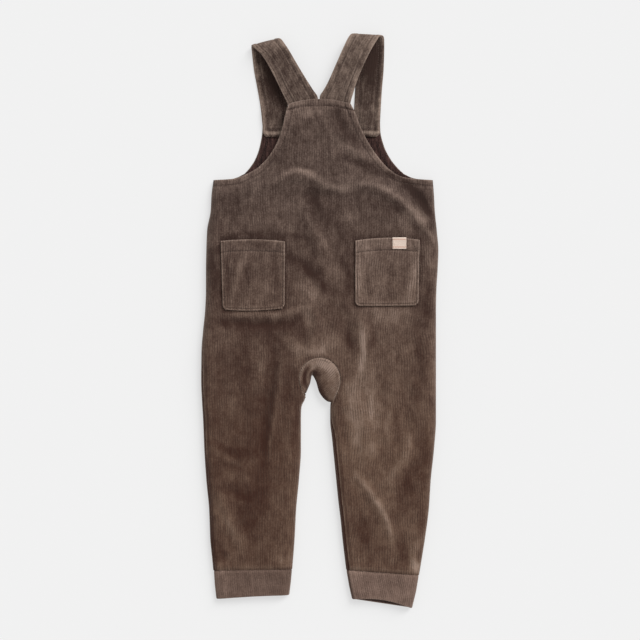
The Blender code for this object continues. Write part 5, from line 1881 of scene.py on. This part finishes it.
@dataclass(frozen=True)
class Pile:
    """A ribbed pile cloth: cords with painted shade in their valleys, and a tone that runs lighter and
    darker, part the pile's own lie and part painted light and shade.

    The colour runs from dark to light with the tone, towards the warm pair down the garment, less so
    in the lightest tones, which are painted sheen highlights, and to the valley colour, a painted
    shade, between two cords.
    """

    name: str
    dark: Colour
    light: Colour
    warm_dark: Colour
    warm_light: Colour
    # The valley colour is painted shade between two cords.
    valley: Colour
    pitch: float = 0.00305
    wander: float = 5.0
    jitter: float = 0.55
    bite: float = 0.45
    relief: float = 0.00042
    clouds: float = 1.2
    patches: float = 1.9
    streaks: float = 0.5
    valley_share: float = 0.50
    sheen: float = 0.35
    roughness: float = 0.92

    def material(self, wales: bpy.types.NodeTree, nap_and_light: bpy.types.NodeTree) -> bpy.types.Material:
        """Builds the material from the shared groups.

        Args:
            wales: the group of raised cords.
            nap_and_light: the group of the pile's tone, with its painted light and shade.

        Returns:
            The material.
        """
        material, graph = open_material(self.name)
        cords, pile = (
            graph.add("ShaderNodeGroup", dict(enumerate(values)), node_tree=group).outputs
            for group, values in ((wales, (self.pitch, self.wander, self.jitter, self.bite)),
                                  (nap_and_light, (self.clouds, self.patches, self.streaks)))
        )
        cord = graph.math("SUBTRACT", cords["Cord"], 0.5)
        tone = graph.sum(pile["Tone"], (pile["Fuzz"], 2.0), (cord, 0.12))
        share = graph.math("POWER", graph.spread(tone, -1.0, 1.5), 1.65)
        cool = graph.blend(share, self.dark, self.light)
        warm = graph.blend(share, self.warm_dark, self.warm_light)
        # The lightest tones, painted sheen highlights, stay nearer the cool colours.
        warmth_below_highlights = graph.spread(tone, 0.3, 1.5, 1.0, 0.25)
        colour = graph.blend(graph.math("MULTIPLY", pile["Down"], warmth_below_highlights), cool, warm)
        # Painted shade between the cords.
        colour = graph.blend(graph.math("MULTIPLY", cords["Valley"], self.valley_share), colour, self.valley)
        graph.shade(colour, graph.sum(cords["Height"], (pile["Fuzz"], 0.5)), self.relief, {
            "Roughness": self.roughness, "Specular IOR Level": 0.15, "Sheen Weight": self.sheen,
            "Sheen Roughness": 0.5, "Sheen Tint": (1.0, 0.80, 0.68, 1.0),
        })
        return material


@dataclass(frozen=True)
class Thread:
    """Sewing thread: one colour, a little uneven, with fine twisted ridges."""

    name: str
    colour: Colour
    dark: Colour

    def material(self) -> bpy.types.Material:
        """Builds the material."""
        material, graph = open_material(self.name)
        place = graph.space()
        uneven = graph.spread(graph.noise(place, 300.0, 3.0, 0.7), 0.3, 0.7)
        graph.shade(graph.blend(uneven, self.dark, self.colour), graph.noise(place, 3000.0), 0.0001,
                    {"Roughness": 0.7, "Specular IOR Level": 0.3})
        return material


@dataclass(frozen=True)
class WovenRibbon:
    """The tag's woven ribbon: plain cream, with a thin line near its top and bottom edges."""

    name: str = "woven_ribbon"
    ground: Colour = (0.74, 0.60, 0.51)
    line: Colour = (0.52, 0.20, 0.11)
    line_up: float = 0.0048
    line_half: float = 0.0004
    pick: float = 0.00042

    def material(self) -> bpy.types.Material:
        """Builds the material: two crossed sines for the weave, and lines at a height up and down."""
        material, graph = open_material(self.name)
        place = graph.cloth()
        parts = graph.add("ShaderNodeSeparateXYZ", {0: place}).outputs
        turns = (graph.math("MULTIPLY", parts[axis], 2 * math.pi / self.pick) for axis in (0, 1))
        weave = graph.math("MULTIPLY", *(graph.math("SINE", turn) for turn in turns))
        up = graph.math("SUBTRACT", graph.math("ABSOLUTE", parts[1]), self.line_up)
        line = graph.math("LESS_THAN", graph.math("ABSOLUTE", up), self.line_half)
        covered = graph.math("MULTIPLY", line, graph.spread(weave, -1.0, 1.0, 0.55, 0.95))
        uneven = graph.spread(graph.noise(place, 900.0, 3.0, 0.7), 0.2, 0.8, 0.86, 1.0)
        colour = graph.blend(1.0, graph.blend(covered, self.ground, self.line), uneven, "MULTIPLY")
        graph.shade(colour, weave, 0.00006, {"Roughness": 0.65, "Specular IOR Level": 0.3})
        return material


@dataclass
class Finishes:
    """Every finish of the garment, built once."""

    corduroy: bpy.types.Material
    reverse: bpy.types.Material
    strap: bpy.types.Material
    rib: bpy.types.Material
    rib_inside: bpy.types.Material
    thread: bpy.types.Material
    dark_thread: bpy.types.Material
    tag_thread: bpy.types.Material
    woven: bpy.types.Material

    @classmethod
    def make(cls) -> "Finishes":
        """Builds the shared node groups and each material."""
        wales, nap_and_light = wales_group(), nap_and_light_group()
        cool, strap_light = (0.028, 0.0142, 0.0108), (0.268, 0.196, 0.156)
        lining = (0.009, 0.004, 0.004), (0.180, 0.094, 0.078)
        knit = (0.052, 0.028, 0.020), (0.372, 0.254, 0.203)
        under = (0.030, 0.016, 0.013), (0.140, 0.090, 0.074)
        piles = (
            Pile("fine_corduroy", cool, (0.262, 0.187, 0.152), (0.034, 0.0105, 0.0055), (0.292, 0.193, 0.134),
                 (0.022, 0.0105, 0.008)),
            Pile("corduroy_wrong_side", *lining, *lining, lining[0], pitch=0.0046, relief=0.0002, patches=0.7,
                 streaks=2.6, sheen=0.1),
            Pile("strap_corduroy", cool, strap_light, cool, strap_light, (0.018, 0.010, 0.008), patches=2.6,
                 valley_share=0.30),
            Pile("cuff_rib", *knit, *knit, (0.050, 0.030, 0.023), pitch=0.0026, wander=1.5, relief=0.0005,
                 valley_share=0.34, patches=1.4),
            Pile("cuff_inside", *under, *under, (0.022, 0.013, 0.010), pitch=0.0026, wander=1.0,
                 relief=0.0003, sheen=0.1),
        )
        threads = (
            Thread("brown_thread", (0.135, 0.094, 0.076), (0.075, 0.049, 0.040)),
            Thread("dark_thread", (0.075, 0.046, 0.038), (0.040, 0.024, 0.020)),
            Thread("cream_thread", (0.70, 0.58, 0.48), (0.55, 0.43, 0.34)),
        )
        return cls(*(pile.material(wales, nap_and_light) for pile in piles), *(thread.material() for thread in threads),
                   WovenRibbon().material())


# ---------------------------------------------------------------------------- studio


@dataclass
class Studio:
    """A pale table lit from above and a little from below, and a camera straight above."""

    camera_place: tuple[float, float, float] = (0.00031, 0.00094, 3.0)
    lens: float = 134.6
    floor_half: float = 4.0
    floor_z: float = -0.0002
    floor_colour: Colour = (0.27, 0.27, 0.27)
    floor_glow: float = 0.578
    fill: float = 0.585
    lamps: tuple[tuple[str, float, tuple[float, float, float], float], ...] = (
        ("soft_key", 1.85, (0.50, 0.62, 0.80), 26.0),
        ("low_key", 0.85, (0.66, 0.66, 0.46), 20.0),
    )

    def floor(self) -> bpy.types.Object:
        """A square of plain floor that glows a little, so that no dark fringe falls on it."""
        corners = ((-1, -1), (1, -1), (1, 1), (-1, 1))
        mesh = bpy.data.meshes.new("floor")
        mesh.from_pydata([(self.floor_half * x, self.floor_half * y, self.floor_z) for x, y in corners], [],
                         [(0, 1, 2, 3)])
        material = bpy.data.materials.new("pale_floor")
        material.use_nodes = True
        shader = material.node_tree.nodes["Principled BSDF"].inputs
        values = {"Base Color": (*self.floor_colour, 1.0), "Emission Color": (1.0, 1.0, 1.0, 1.0),
                  "Emission Strength": self.floor_glow, "Roughness": 0.95, "Specular IOR Level": 0.0}
        for socket, value in values.items():
            shader[socket].default_value = value
        mesh.materials.append(material)
        return bpy.data.objects.new("studio_floor", mesh)

    def build(self) -> None:
        """Makes the floor, the lights and the camera."""
        scene = bpy.context.scene
        scene.view_settings.view_transform = "Standard"
        floor = self.floor()
        scene.world = bpy.data.worlds.new("studio")
        scene.world.use_nodes = True
        sky = scene.world.node_tree.nodes["Background"].inputs
        sky[0].default_value, sky[1].default_value = (1.0, 1.0, 1.0, 1.0), self.fill
        camera = bpy.data.cameras.new("camera")
        camera.lens, camera.sensor_width, camera.clip_end = self.lens, 36.0, 20.0
        scene.camera = bpy.data.objects.new("camera", camera)
        scene.camera.location = self.camera_place
        shown = [floor, scene.camera]
        for name, strength, direction, spread in self.lamps:
            lamp = bpy.data.lights.new(name, "SUN")
            lamp.energy, lamp.angle = strength, math.radians(spread)
            light = bpy.data.objects.new(name, lamp)
            light.rotation_euler = Vector(direction).to_track_quat("Z", "Y").to_euler()
            shown.append(light)
        for part in shown:
            scene.collection.objects.link(part)


def main() -> None:
    """Builds the garment, then the studio."""
    logging.basicConfig(level=logging.INFO, format="%(message)s")
    finishes = Finishes.make()
    back = BackPanel()
    back.build(finishes)
    FrontPanel().build(finishes)
    Gusset().build(finishes)
    for side in Side:
        pocket = PatchPocket(side, back)
        pocket.build(finishes)
        if side is Side.RIGHT:
            WovenTag(pocket).build(finishes)
        Strap(side, **STRAP_TONES[side.key]).build(finishes)
        Cuff(side, CUFF_TONES[side.key]).build(finishes)
    Studio().build()


if __name__ == "__main__":
    main()
